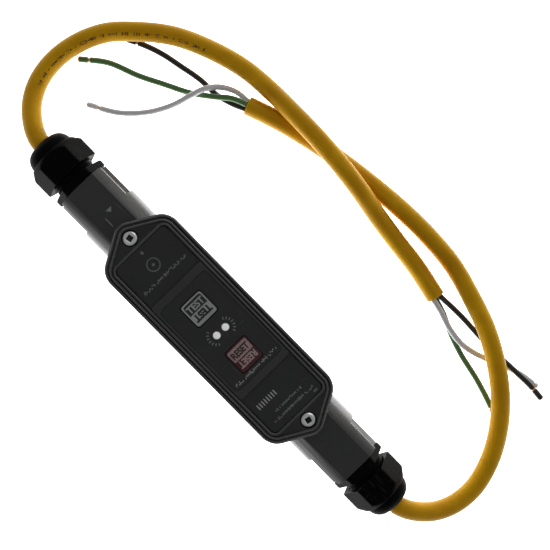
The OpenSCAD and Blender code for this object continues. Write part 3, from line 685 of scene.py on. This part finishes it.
def panel_line(inset):
    """The outline of the frame round the panel, moved in from its outer side."""
    half_width, half_length, radius = 19.0, 58.7, 4.6
    x, y, r = half_width - radius, half_length - radius, radius - inset
    return arcs([(x, y, r, 0, 90), (-x, y, r, 90, 180), (-x, -y, r, 180, 270),
                 (x, -y, r, 270, 360)])


def ridge(name, line, outer, inner, foot, side, top):
    """A ridge with a round top. Across it, at t from 0 to pi, the inset is
    middle - half * cos t, and the height side + (top - side) * sin t."""
    t = np.linspace(0, np.pi, 11)
    inset = (outer + inner) / 2 - (inner - outer) / 2 * np.cos(t)
    height = side + (top - side) * np.sin(t).clip(0)
    profile = [(outer, foot), *zip(inset, height), (inner, foot)]
    points = [np.column_stack([line(i), np.full(len(line(i)), z)]) for i, z in profile]
    return new_piece(name, np.array(points) * MM,
                     grid_faces(len(points), len(points[0]), close_rows=True), "root")


RIDGES = [ridge("cover_lip", cover_line, -0.2, 1.8, 36.9, 37.6, 39.0),
          ridge("cover_ridge", cover_line, 2.3, 3.55, 37.8, 39.0, 39.8),
          ridge("panel_ridge", panel_line, 0.1, 1.6, 38.7, 39.25, 40.0)]
print("points round the cover:", len(cover_line(0)))

# %% [markdown]
# ## Printing on the face
# The buttons say what they do, once for a reader on each side. The rest of the printing is
# only hinted at with plain strokes. Ink has no thickness to speak of, but it is a layer on
# top of the film, so each mark is a plate a few hundredths of a millimetre thick.


# %% Thin plates of ink
INK = 0.05


def plates(name, marks, z, ink, corner=6.0, around=16, body="root"):
    """One piece made of flat rounded plates. Each mark is (x, y, width, length, turn), in mm
    and degrees. A plate's outline is a superellipse stretched to width and length."""
    marks = np.asarray(marks, float)
    a = np.linspace(0, 2 * np.pi, around, endpoint=False)[None, :]
    u = circle_to_square(a, corner) * np.cos(a) * marks[:, 2:3] / 2
    v = circle_to_square(a, corner) * np.sin(a) * marks[:, 3:4] / 2
    turn = np.radians(marks[:, 4:5])
    x = marks[:, 0:1] + u * np.cos(turn) - v * np.sin(turn)
    y = marks[:, 1:2] + u * np.sin(turn) + v * np.cos(turn)
    low = np.stack([x, y, np.full_like(x, z)], -1)
    points = np.stack([low, low + [0, 0, INK]], 1) * MM
    first = np.arange(len(marks))[:, None, None] * 2 * around
    sides = (grid_faces(2, around)[None] + first).reshape(-1, 4).tolist()
    ring = np.arange(around)
    lids = (first[:, :, 0] + around + ring).tolist() + (first[:, :, 0] + ring[::-1]).tolist()
    inked[name] = ink
    return new_piece(name, points, sides + lids, body, smooth=False)


# The ridges take a lighter copy of the cover's black: a painted highlight for the light their round
# tops catch, on top of a glossier finish
inked = {piece.name: "polished_black_painted_highlight" for piece in RIDGES}
FILM_Z, MEMBRANE_Z = 39.45, 39.6


def small_print(x0, x1, y, height, seed):
    """A row of short strokes in groups, which from a distance looks like words and spells
    nothing. Every stroke has its own width, height, lift and lean."""
    chance = np.random.default_rng(seed)
    count = 90
    widths = chance.choice([0.26, 0.3, 0.34, 0.62], count)
    gaps = np.where(chance.random(count) < 0.14, 1.15, chance.uniform(0.24, 0.42, count))
    starts = x0 + np.cumsum(widths + gaps) - widths
    keep = starts + widths < x1
    x, widths = starts[keep] + widths[keep] / 2, widths[keep]
    tall = np.where(widths > 0.5, 0.3, chance.choice([0.55, 0.7, 1.0], len(x))) * height
    lift = np.where(widths > 0.5, chance.choice([-0.3, 0.0, 0.3], len(x)) * height, 0)
    lean = chance.choice([-14.0, 0.0, 0.0, 12.0], len(x))
    return np.stack([x, y + lift, widths, tall, lean], -1)


plates("upper_print", small_print(-14.5, 14.5, 38.4, 1.9, 1), FILM_Z, "faint_ink")
plates("lower_print", np.concatenate([small_print(-9, 9.6, -48.7, 1.8, 2),
                                      small_print(-13, 13.6, -52.4, 1.8, 3)]),
       FILM_Z, "faint_ink")
plates("keypad_print", small_print(-14.2, 14.2, -26, 1.9, 4), MEMBRANE_Z, "pale_ink")

# Short strokes on the outer side of each lens
rays = np.radians(np.linspace(-62, 62, 7))
strokes = [(side * (3 + 4.6 * c), -1 + 4.6 * s, 1.5, 0.6, np.degrees(np.arctan2(s, side * c)))
           for side in (1, -1) for c, s in zip(np.cos(rays), np.sin(rays))]
plates("lens_strokes", strokes, MEMBRANE_Z, "faint_ink")
print("printed plates so far:", len(inked))


# %% Rings and plain marks
def frame_of(name, x, y, outer, inner, z, ink, power=14, thickness=0.04, around=96,
             body="root"):
    """A flat frame of ink between two superellipses, outer and inner giving each one's
    width and height in mm. It is a grid closed both ways."""
    a = np.linspace(0, 2 * np.pi, around, endpoint=False)
    unit = circle_to_square(a, power)[:, None] * np.stack([np.cos(a), np.sin(a)], -1) / 2
    levels = ((outer, z), (outer, z + thickness), (inner, z + thickness), (inner, z))
    points = [np.column_stack([unit * size + [x, y], np.full(around, level)])
              for size, level in levels]
    inked[name] = ink
    return new_piece(name, np.array(points) * MM, grid_faces(4, around, close_rows=True),
                     body, smooth=False)


frame_of("upper_ring", -0.7, 46, (7.2, 7.2), (6, 6), FILM_Z, "dull_ink", power=2,
         thickness=INK, around=64)
plates("upper_marks", [(-0.7, 46, 1.7, 1.7, 0), (-0.7, 54, 1.5, 2.0, 0)], FILM_Z, "dull_ink",
       corner=2)
plates("lower_mark", [(13.1, -55, 2.4, 1.1, 0)], FILM_Z, "dull_ink")
print("inked pieces:", len(inked))

# %% [markdown]
# ## Words on the buttons
# The two words are plain functions, as numbers are on a dial. Blender's own font draws each
# as a flat curve with a little depth, and the curve is made a mesh before it is placed, so
# the piece's object stays at the origin.


# %% Letter the buttons
def lettering(name, word, x, y, z, height, width, ink, body, upside_down=False, bold=0.03):
    """A word as a mesh, width by height in mm, centred on (x, y), standing on z."""
    curve = bpy.data.curves.new(name, "FONT")
    curve.body, curve.extrude, curve.offset = word, 0.04, bold  # depth is set again below
    curve.align_x, curve.align_y = "CENTER", "CENTER"
    holder = bpy.data.objects.new(name + "_curve", curve)
    mesh = bpy.data.meshes.new_from_object(holder)
    bpy.data.objects.remove(holder)
    points = np.zeros(len(mesh.vertices) * 3, np.float32)
    mesh.vertices.foreach_get("co", points)
    points = points.reshape(-1, 3)
    low, high = points.min(0), points.max(0)
    points = (points - (low + high) / 2) / (high - low) * [width, height, INK]
    points = points * ([-1, -1, 1] if upside_down else [1, 1, 1]) + [x, y, z + INK / 2]
    mesh.vertices.foreach_set("co", (points * MM).astype(np.float32).ravel())
    merge_points(mesh, 10 * SAME_POINT)
    inked[name] = ink
    return shown(name, mesh, body)


CAP_TOP = 39.86
lettering("test_word", "TEST", 0, TEST_Y + 2.65, CAP_TOP, 3.8, 10.3, "pale_ink", "test_button")
lettering("test_word_turned", "TEST", 0, TEST_Y - 2.75, CAP_TOP + 0.03, 4.1, 10.5, "dark_ink",
          "test_button", upside_down=True, bold=0.05)
lettering("reset_word", "RESET", 0, RESET_Y + 2.75, CAP_TOP + 0.03, 3.8, 10.5, "wine_ink",
          "reset_button", bold=0.04)
lettering("reset_word_turned", "RESET", 0, RESET_Y - 2.9, CAP_TOP + 0.03, 4.0, 11.0,
          "rose_ink", "reset_button", upside_down=True, bold=0.04)
print("pieces with lettering:", sum("word" in name for name in inked))

# %% [markdown]
# ## A larger row at the line end
# The end that the supply comes in at has one row of larger printing. Whatever such a row
# says belongs to a maker, so equal upright bars stand for it, and they spell nothing.

# %% Mark the line end
BARS, BAR_STEP, BAR_SIZE = 8, 1.6, (0.6, 3.0)
FIRST_BAR, BAR_ROW = -13.4, -41.4
plates("line_marks", [(FIRST_BAR + BAR_STEP * k, BAR_ROW, *BAR_SIZE, 0) for k in range(BARS)],
       FILM_Z, "pale_ink", corner=8)
print("bars at the line end:", BARS)


# %% Frames and panels on the caps
def panel(name, y, width, height, ink, body, lift):
    """A rounded plate of ink on a cap, lift mm from the level of the words."""
    return plates(name, [(0, y, width, height, 0)], CAP_TOP + lift, ink, corner=14, around=64,
                  body=body)


frame_of("test_frame", 0, TEST_Y, (13.0, 13.0), (11.5, 11.5), CAP_TOP - 0.03, "pale_ink",
         body="test_button")
panel("test_panel", TEST_Y - 2.9, 11.7, 5.9, "pale_ink", "test_button", -0.02)
frame_of("reset_frame", 0, RESET_Y + 2.85, (12.2, 6.2), (11.2, 5.2), CAP_TOP - 0.03,
         "rose_ink", body="reset_button")
panel("reset_panel", RESET_Y + 2.85, 11.0, 5.0, "rose_ink", "reset_button", -0.03)
print("inked pieces in all:", len(inked))

# %% [markdown]
# ## Printing along the load cord
# A jacket is printed as it leaves the die, so its marks run along it, on whichever side is
# up. Each stroke here is laid out flat, as distance along the cord and arc round it, and
# then wrapped onto the jacket.

# %% Print the jacket
print_line = cord_lines["load"]
chance = np.random.default_rng(11)
marks = 66
PRINT_START, PRINT_ANGLE = 32, radians(118)
steps = chance.uniform(0.8, 1.3, marks) + 2.2 * (chance.random(marks) < 0.16)
start = PRINT_START + np.cumsum(steps)
wide, tall = chance.choice([0.4, 0.6, 0.9], marks), chance.choice([0.8, 1.3, 1.7], marks)
far = np.array([-0.5, 0.5, 0.5, -0.5]) * wide[:, None] + start[:, None]
arc = np.array([-0.5, -0.5, 0.5, 0.5]) * tall[:, None]
turned_by = PRINT_ANGLE - arc * MM / CORD_R
centre = along(print_line, far.ravel() * MM)
_, sides, ups = (np.stack([np.interp(far.ravel() * MM, distances(print_line), v[:, k])
                           for k in range(3)], -1) for v in directions(print_line))
outward = (np.cos(turned_by).ravel()[:, None] * sides + np.sin(turned_by).ravel()[:, None] * ups)
low, high = (centre + (CORD_R + lift * MM) * outward for lift in (-0.03, 0.07))
stroke = np.stack([low.reshape(-1, 4, 3), high.reshape(-1, 4, 3)], 1)
block = np.concatenate([grid_faces(2, 4), [[3, 2, 1, 0], [4, 5, 6, 7]]])[:, ::-1]
faces = np.concatenate([block + 8 * k for k in range(len(stroke))])
new_piece("load_cord_print", stroke, faces, "root", smooth=False)
inked["load_cord_print"] = "jacket_ink"
print("printed strokes on the load cord:", len(stroke))

# %% [markdown]
# ## The arrow on the barrel
# A small raised arrow on the load end tells the fitter which way the current runs. It is
# moulded with the body, so it shares its plastic, but its worn top is paler.

# %% Raise the arrow
tip = np.array([[0.2, 82.2], [4.0, 82.2], [2.1, 80.0]])
levels = [(tip, 31.45), (tip, 31.6), ((tip - tip.mean(0)) * 0.8 + tip.mean(0), 31.68)]
points = [np.column_stack([ring, np.full(3, z)]) for ring, z in levels]
arrow_faces = grid_faces(3, 3)[:, ::-1].tolist() + [[0, 1, 2], [8, 7, 6]]
new_piece("load_arrow", np.array(points) * MM, arrow_faces, "root", smooth=False)
inked["load_arrow"] = "worn_grey"
plates("load_mark", [(-2.4, 77, 0.5, 5.6, 0)], 31.5, "worn_grey")
print("the arrow points to y =", tip[2, 1], "mm")

# %% [markdown]
# ## Effects that several finishes share
# Moulded plastic is never one flat colour. It has a fine grain from the mould, slow patches
# where it flowed and where hands have polished it, hairline scuffs, and paler worn edges.
# Each effect is a node group, built once. A group puts out only masks and heights, and each
# material decides what they do to its own colour, roughness and surface.


# %% Build node trees
def node(tree, kind, inputs=None, **settings):
    """Adds a shader node. inputs are values, or sockets of other nodes to link from."""
    made = tree.nodes.new("ShaderNode" + kind)
    for key, value in settings.items():
        setattr(made, key, value)
    for key, value in (inputs or {}).items():
        if isinstance(value, bpy.types.NodeSocket):
            tree.links.new(value, made.inputs[key])
        else:
            made.inputs[key].default_value = value
    return made


def remap(tree, value, low, high, to_low=0.0, to_high=1.0):
    """A value from low..high mapped to to_low..to_high and held there."""
    return node(tree, "MapRange", {0: value, 1: low, 2: high, 3: to_low, 4: to_high}).outputs[0]


def calc(tree, operation, a, b):
    return node(tree, "Math", {0: a, 1: b}, operation=operation).outputs[0]


def new_group(name, inputs, outputs):
    """An empty node group, with the sockets that come in and the ones that go out."""
    group = bpy.data.node_groups.new(name, "ShaderNodeTree")
    for label, kind, value in inputs:
        socket = group.interface.new_socket(label, in_out="INPUT", socket_type="NodeSocket" + kind)
        if value is not None:
            socket.default_value = value
    for label in outputs:
        group.interface.new_socket(label, in_out="OUTPUT", socket_type="NodeSocketFloat")
    taken, given = group.nodes.new("NodeGroupInput"), group.nodes.new("NodeGroupOutput")
    return group, taken.outputs, given.inputs


# Grain: two sizes of noise as a height, and slow patches as a mask
grain_group, taken, given = new_group(
    "mould grain", [("Place", "Vector", None), ("Grains per metre", "Float", 3000.0)],
    ["Height", "Patches"])
fine = node(grain_group, "TexNoise", {"Vector": taken[0], "Scale": taken[1], "Detail": 3.0})
pits = node(grain_group, "TexVoronoi", {"Vector": taken[0], "Scale": taken[1]})
slow = node(grain_group, "TexNoise", {"Vector": taken[0], "Scale": 38.0, "Detail": 4.0,
                                      "Roughness": 0.6})
height = calc(grain_group, "ADD", calc(grain_group, "MULTIPLY", pits.outputs["Distance"], 0.35),
              fine.outputs["Fac"])
grain_group.links.new(height, given[0])
grain_group.links.new(remap(grain_group, slow.outputs["Fac"], 0.3, 0.7), given[1])
print("group:", grain_group.name)

# %% Scuffs and dust
scuff_group, taken, given = new_group("scuffs and dust", [("Place", "Vector", None)],
                                      ["Scuffs", "Dust"])
lines = []
for turn, stretch in ((0.5, (2600, 90, 400)), (-0.9, (90, 2200, 400)), (1.9, (1900, 60, 300))):
    turned_place = node(scuff_group, "Mapping", {"Vector": taken[0], "Rotation": (0, 0, turn),
                                                 "Scale": stretch})
    hair = node(scuff_group, "TexNoise", {"Vector": turned_place.outputs[0], "Scale": 1.0,
                                          "Detail": 1.0})
    lines.append(remap(scuff_group, hair.outputs["Fac"], 0.71, 0.78))
where = node(scuff_group, "TexNoise", {"Vector": taken[0], "Scale": 55.0, "Detail": 2.0})
scuffs = calc(scuff_group, "MAXIMUM", calc(scuff_group, "MAXIMUM", lines[0], lines[1]), lines[2])
scuffs = calc(scuff_group, "MULTIPLY", scuffs, remap(scuff_group, where.outputs["Fac"], 0.45, 0.6))
specks = node(scuff_group, "TexVoronoi", {"Vector": taken[0], "Scale": 700.0})
film = node(scuff_group, "TexNoise", {"Vector": taken[0], "Scale": 90.0, "Detail": 5.0})
dust = calc(scuff_group, "ADD", remap(scuff_group, specks.outputs["Distance"], 0.12, 0.05),
            remap(scuff_group, film.outputs["Fac"], 0.5, 0.8, 0.0, 0.5))
scuff_group.links.new(scuffs, given[0])
scuff_group.links.new(dust, given[1])
print("group:", scuff_group.name)

# %% Worn edges
# The Bevel node gives the normal that a rounded edge would have. Where it leans away from
# the true normal there is an edge, and noise breaks the wear up.
edge_group, taken, given = new_group("worn edges", [("Place", "Vector", None),
                                                    ("Reach", "Float", 0.0004)], ["Wear"])
rounded = node(edge_group, "Bevel", {"Radius": taken[1]}, samples=4)
true = node(edge_group, "NewGeometry")
facing = node(edge_group, "VectorMath", {0: rounded.outputs[0], 1: true.outputs["Normal"]},
              operation="DOT_PRODUCT")
broken = node(edge_group, "TexNoise", {"Vector": taken[0], "Scale": 260.0, "Detail": 4.0})
wear = calc(edge_group, "MULTIPLY", remap(edge_group, facing.outputs["Value"], 0.985, 0.9),
            remap(edge_group, broken.outputs["Fac"], 0.38, 0.62))
edge_group.links.new(wear, given[0])
print("group:", edge_group.name)

# %% [markdown]
# ## Finishes
# Every finish starts from the same recipe: the base colour drifts with the slow patches,
# lightens in the scuffs and at the edges, and takes a little dust; the same masks move the
# roughness; and the grain drives a bump. What makes the finishes differ is their numbers,
# so they sit in one table, and only the cords, the metals and the lens add nodes of their
# own. Colours are linear, as the shader wants them.


# %% The shared recipe
def grouped(tree, group, place, **values):
    """The outputs of a group placed in tree, reading place."""
    made = tree.nodes.new("ShaderNodeGroup")
    made.node_tree = group
    tree.links.new(place, made.inputs["Place"])
    for key, value in values.items():
        made.inputs[key.replace("_", " ")].default_value = value
    return made.outputs


def mixed(tree, mask, first, second):
    """Two colours mixed by a mask."""
    made = node(tree, "Mix", {0: mask, 6: first, 7: second}, data_type="RGBA")
    return made.outputs[2]


def shade(colour, factor):
    """A colour made darker or lighter, with its alpha."""
    return tuple(min(1.0, c * factor) for c in colour) + (1.0,)


def new_finish(name, colour, rough, drift=0.12, grain=3000.0, depth=0.00002, scuff=0.25,
               wear=0.3, dust=0.03, lay=False, metal=0.0, **shader):
    """A material made from the shared effects. drift is how far the colour and roughness
    wander, scuff, wear and dust how strongly those show, grain and depth the skin."""
    finish = bpy.data.materials.new(name)
    finish.use_nodes = True
    tree = finish.node_tree
    skin = tree.nodes["Principled BSDF"]
    place = (node(tree, "Attribute", attribute_name="lay").outputs["Vector"] if lay
             else node(tree, "TexCoord").outputs["Object"])
    grains = grouped(tree, grain_group, place, Grains_per_metre=grain)
    marks = grouped(tree, scuff_group, place)
    tone = mixed(tree, grains["Patches"], shade(colour, 1 - drift), shade(colour, 1 + drift))
    pale = tuple(c + (0.3 if metal else 0.22) * (1 - c) for c in colour) + (1.0,)
    tone = mixed(tree, calc(tree, "MULTIPLY", marks["Scuffs"], scuff), tone, pale)
    if wear:
        edges = grouped(tree, edge_group, place)
        tone = mixed(tree, calc(tree, "MULTIPLY", edges["Wear"], wear), tone, pale)
    tone = mixed(tree, calc(tree, "MULTIPLY", marks["Dust"], dust), tone, (0.4, 0.38, 0.35, 1))
    gloss = remap(tree, grains["Patches"], 0, 1, rough * (1 - drift), min(1, rough * (1 + drift)))
    gloss = calc(tree, "ADD", gloss, calc(tree, "MULTIPLY", marks["Scuffs"], 0.2 * scuff))
    gloss = calc(tree, "ADD", gloss, calc(tree, "MULTIPLY", marks["Dust"], 0.15))
    bump = node(tree, "Bump", {"Height": grains["Height"], "Strength": 1.0, "Distance": depth})
    tree.links.new(tone, skin.inputs["Base Color"])
    tree.links.new(gloss, skin.inputs["Roughness"])
    tree.links.new(bump.outputs[0], skin.inputs["Normal"])
    skin.inputs["Metallic"].default_value = metal
    for key, value in shader.items():
        skin.inputs[key.replace("_", " ")].default_value = value
    return finish


def finishes(rows):
    """Finishes by name. Each row is a name, a colour, a roughness and what else differs."""
    return {name: new_finish(name, colour, rough, **other) for name, colour, rough, other in rows}


METAL = dict(metal=1.0, drift=0.18, grain=5000.0, depth=0.00001, dust=0.02)
FINISHES = finishes([
    ("housing_grey", (0.028, 0.029, 0.029), 0.3, dict(depth=0.00001, scuff=0.3)),
    ("cover_black", (0.010, 0.011, 0.011), 0.42, dict(grain=2600.0, depth=0.00003)),
    ("gasket_rubber", (0.010, 0.010, 0.010), 0.75, dict(dust=0.08)),
    ("label_film", (0.013, 0.014, 0.015), 0.4, dict(grain=1800.0, depth=0.00001, wear=0.1)),
    ("bezel_grey", (0.030, 0.031, 0.031), 0.45, {}),
    ("membrane", (0.016, 0.017, 0.019), 0.46, dict(grain=2200.0, depth=0.00002, wear=0.1)),
    ("test_cap", (0.020, 0.021, 0.022), 0.45, {}),
    ("reset_cap", (0.060, 0.006, 0.010), 0.45, {}),
    ("carbon_rubber", (0.016, 0.016, 0.016), 0.85, {}),
    ("led_resin", (0.75, 0.76, 0.72), 0.2, dict(scuff=0.0, Transmission_Weight=0.4)),
    ("circuit_green", (0.012, 0.10, 0.035), 0.35, dict(grain=900.0, drift=0.2, Coat_Weight=0.5)),
    ("chip_black", (0.014, 0.014, 0.014), 0.6, dict(grain=7000.0)),
    ("ferrite", (0.045, 0.045, 0.05), 0.55, dict(drift=0.25)),
    ("inner_plastic", (0.026, 0.026, 0.028), 0.5, {}),
    ("varistor_blue", (0.015, 0.05, 0.2), 0.3,
     dict(grain=1200.0, depth=0.00005, Coat_Weight=0.6)),
    ("capacitor_yellow", (0.55, 0.36, 0.05), 0.35, {}),
    ("gland_black", (0.0022, 0.0021, 0.0022), 0.4,
     dict(grain=2400.0, depth=0.00001, wear=0.12, dust=0.004, Specular_IOR_Level=0.025)),
    ("thrust_nylon", (0.55, 0.55, 0.52), 0.4, dict(Subsurface_Weight=0.2)),
    ("screw_zinc", (0.78, 0.79, 0.80), 0.26, METAL),
    ("small_screws", (0.62, 0.61, 0.58), 0.3, METAL),
    ("brass", (0.72, 0.50, 0.21), 0.28, METAL),
    ("spring_steel", (0.55, 0.55, 0.56), 0.24, METAL),
    ("copper", (0.72, 0.33, 0.17), 0.3, METAL),
    ("soft_iron", (0.42, 0.42, 0.43), 0.4, METAL),
    ("contact_metal", (0.74, 0.62, 0.40), 0.28, METAL),
    # The lens's faint white emission is a painted glow: the lamps are not lit, it only makes the
    # discs read brighter
    ("lens", (0.9, 0.9, 0.89), 0.15,
     dict(drift=0.03, scuff=0.05, wear=0.0, dust=0.0, depth=0.000004, Coat_Weight=0.5,
          Emission_Color=(1.0, 1.0, 0.98, 1.0), Emission_Strength=0.24)),
])
print("finishes:", len(FINISHES))

# %% [markdown]
# ## The cords' jackets
# A PVC jacket is drawn through a die, so its marks run along it: faint draw lines and a
# slow change of colour. The pattern reads the "lay" attribute, a point's place on the cord
# pulled straight, so the lines follow every bend. The plastic is not fully opaque: light
# that enters at the sides comes out again nearby, which makes the edges glow.


# %% Draw lines along a cord
def drawn_finish(name, colour, rough, deep, lines_per_metre, depth, glow, radius, **values):
    """A finish for something drawn through a die: colour drifts towards deep along it, and
    fine lines run lengthwise."""
    finish = new_finish(name, colour, rough, lay=True, wear=0.0, **values)
    tree = finish.node_tree
    skin = tree.nodes["Principled BSDF"]
    place = node(tree, "Attribute", attribute_name="lay").outputs["Vector"]
    stretched = node(tree, "Mapping", {"Vector": place, "Scale": (1, 1, 0.02)})
    draw = node(tree, "TexNoise", {"Vector": stretched.outputs[0], "Scale": lines_per_metre,
                                   "Detail": 2.0})
    squeezed = node(tree, "Mapping", {"Vector": place, "Scale": (1, 1, 0.35)})
    tide = node(tree, "TexNoise", {"Vector": squeezed.outputs[0], "Scale": 90.0, "Detail": 3.0})
    old = skin.inputs["Base Color"].links[0].from_socket
    tone = mixed(tree, remap(tree, tide.outputs["Fac"], 0.42, 0.7), old, deep + (1.0,))
    tree.links.new(tone, skin.inputs["Base Color"])
    under = skin.inputs["Normal"].links[0].from_socket
    ridge = node(tree, "Bump", {"Height": draw.outputs["Fac"], "Distance": depth,
                                "Normal": under})
    tree.links.new(ridge.outputs[0], skin.inputs["Normal"])
    skin.inputs["Subsurface Weight"].default_value = glow
    skin.inputs["Subsurface Radius"].default_value = radius
    skin.inputs["Subsurface Scale"].default_value = 1.0
    return finish


FINISHES["cord_yellow"] = drawn_finish(
    "cord_yellow", (0.66, 0.345, 0.002), 0.42, (0.52, 0.24, 0.001), 900.0, 0.00003, 0.05,
    (0.002, 0.001, 0.0002), scuff=0.1, dust=0.0, Specular_IOR_Level=0.12, Sheen_Weight=0.25,
    Sheen_Roughness=0.35, Sheen_Tint=(1.0, 0.8, 0.04, 1.0))
WIRE_LINES, WIRE_DEPTH = 1500.0, 0.00001
for name, colour, rough, deep, glow, radius in (
    ("wire_black", (0.009, 0.009, 0.008), 0.3, (0.014, 0.013, 0.011), 0.0, (0.001,) * 3),
    ("wire_white", (0.68, 0.68, 0.71), 0.34, (0.60, 0.60, 0.63), 0.15, (0.001,) * 3),
    ("wire_green", (0.080, 0.19, 0.055), 0.32, (0.060, 0.15, 0.040), 0.1,
     (0.0005, 0.001, 0.0005)),
):
    FINISHES[name] = drawn_finish(name, colour, rough, deep, WIRE_LINES, WIRE_DEPTH, glow,
                                  radius, scuff=0.1)
INKS = finishes([
    ("pale_ink", (0.40, 0.41, 0.41), 0.5, dict(drift=0.2, wear=0.0)),
    ("faint_ink", (0.22, 0.23, 0.23), 0.5, dict(drift=0.35, wear=0.0)),
    ("dull_ink", (0.12, 0.125, 0.125), 0.5, dict(drift=0.3, wear=0.0)),
    ("dark_ink", (0.008, 0.009, 0.010), 0.5, dict(wear=0.0)),
    ("wine_ink", (0.030, 0.008, 0.010), 0.5, dict(wear=0.0)),
    ("rose_ink", (0.44, 0.30, 0.30), 0.5, dict(drift=0.2, wear=0.0)),
    # The cover's black made lighter for the ridges: a painted highlight, with a real higher gloss
    ("polished_black_painted_highlight", (0.034, 0.035, 0.035), 0.34,
     dict(grain=2600.0, drift=0.25, scuff=0.5, Specular_IOR_Level=0.9)),
    ("jacket_ink", (0.10, 0.03, 0.004), 0.6, dict(drift=0.5, wear=0.0)),
    ("worn_grey", (0.22, 0.22, 0.22), 0.5, dict(drift=0.2, wear=0.0)),
])
print("finishes for pieces:", len(FINISHES), "and for ink:", len(INKS))

# %% Give every piece and every shown node its finish
slot_of = {part["node"]: part["material_slot"] for part in frame["record"]["subparts"]}


def dress(thing, finish):
    thing.data.materials.clear()
    thing.data.materials.append(finish)


for name, part in frame["nodes"].items():
    dress(part, FINISHES[slot_of[name]])
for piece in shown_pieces():
    if piece.name in inked:
        dress(piece, INKS[inked[piece.name]])
    elif "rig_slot" in piece:
        dress(piece, FINISHES[piece["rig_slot"]])

# %% [markdown]
# ## Floor and light
# The studio is a white tent over a floor that glows. The floor gives the most light in the
# middle of the cords' loop and less further out, so the sides that face the loop carry the
# brightest edges. The tent is nearly even: a little dimmer overhead, which keeps the tops of
# the dark parts dark, and a little brighter on the right. One faint lamp adds to that side.

# %% Lay the floor
REACH, FLOOR_Z = 3.0, -0.0002
LOOP_MIDDLE, NEAR, FAR, NEAR_GLOW, FAR_GLOW = (0.060, 0.0, 0.0), 0.05, 0.18, 3.8, 1.2
mesh = bpy.data.meshes.new("floor")
corners = [(x * REACH, y * REACH, FLOOR_Z) for x, y in ((-1, -1), (1, -1), (1, 1), (-1, 1))]
mesh.from_pydata(corners, [], [(0, 1, 2, 3)])
floor = bpy.data.objects.new("floor", mesh)
bpy.context.scene.collection.objects.link(floor)
paper = bpy.data.materials.new("white_paper")
paper.use_nodes = True
sheet = paper.node_tree.nodes["Principled BSDF"]
sheet.inputs["Base Color"].default_value = (0.9, 0.9, 0.9, 1)
sheet.inputs["Roughness"].default_value = 0.9
sheet.inputs["Specular IOR Level"].default_value = 0.1
sheet.inputs["Emission Color"].default_value = (1, 1, 1, 1)
place = node(paper.node_tree, "TexCoord").outputs["Object"]
from_middle = node(paper.node_tree, "VectorMath", {0: place, 1: LOOP_MIDDLE},
                   operation="DISTANCE")
shine = remap(paper.node_tree, from_middle.outputs["Value"], NEAR, FAR, NEAR_GLOW, FAR_GLOW)
paper.node_tree.links.new(shine, sheet.inputs["Emission Strength"])
mesh.materials.append(paper)
print("floor:", 2 * REACH, "m wide")

# %% Light the tent
world = bpy.data.worlds.new("tent")
bpy.context.scene.world = world
world.use_nodes = True
sky = world.node_tree
toward = node(sky, "TexCoord").outputs["Generated"]
split = node(sky, "SeparateXYZ", {0: toward})
fade = node(sky, "ValToRGB", {0: split.outputs["Z"]})
stops = fade.color_ramp.elements
stops[0].position, stops[0].color = 0.0, (0.5, 0.5, 0.5, 1)
stops[1].position, stops[1].color = 1.0, (0.26, 0.26, 0.26, 1)
stops.new(0.3).color = (0.36, 0.36, 0.36, 1)
lean = remap(sky, split.outputs["X"], -0.7, 0.7, 0.8, 1.2)
sky.links.new(fade.outputs[0], sky.nodes["Background"].inputs["Color"])
sky.links.new(lean, sky.nodes["Background"].inputs["Strength"])


def softbox(name, place, aim, size, watts):
    """A square area light at place, facing aim."""
    lamp = bpy.data.lights.new(name, "AREA")
    lamp.size, lamp.energy = size, watts
    holder = bpy.data.objects.new(name, lamp)
    bpy.context.scene.collection.objects.link(holder)
    back = Vector(place) - Vector(aim)
    facing = back.to_track_quat("Z", "Y").to_matrix().to_4x4()
    holder.matrix_world = Matrix.Translation(place) @ facing


softbox("right_wall", (0.9, 0.25, 0.35), (0.05, 0, 0.02), 0.7, 1)
bpy.context.scene.view_settings.view_transform = "Standard"
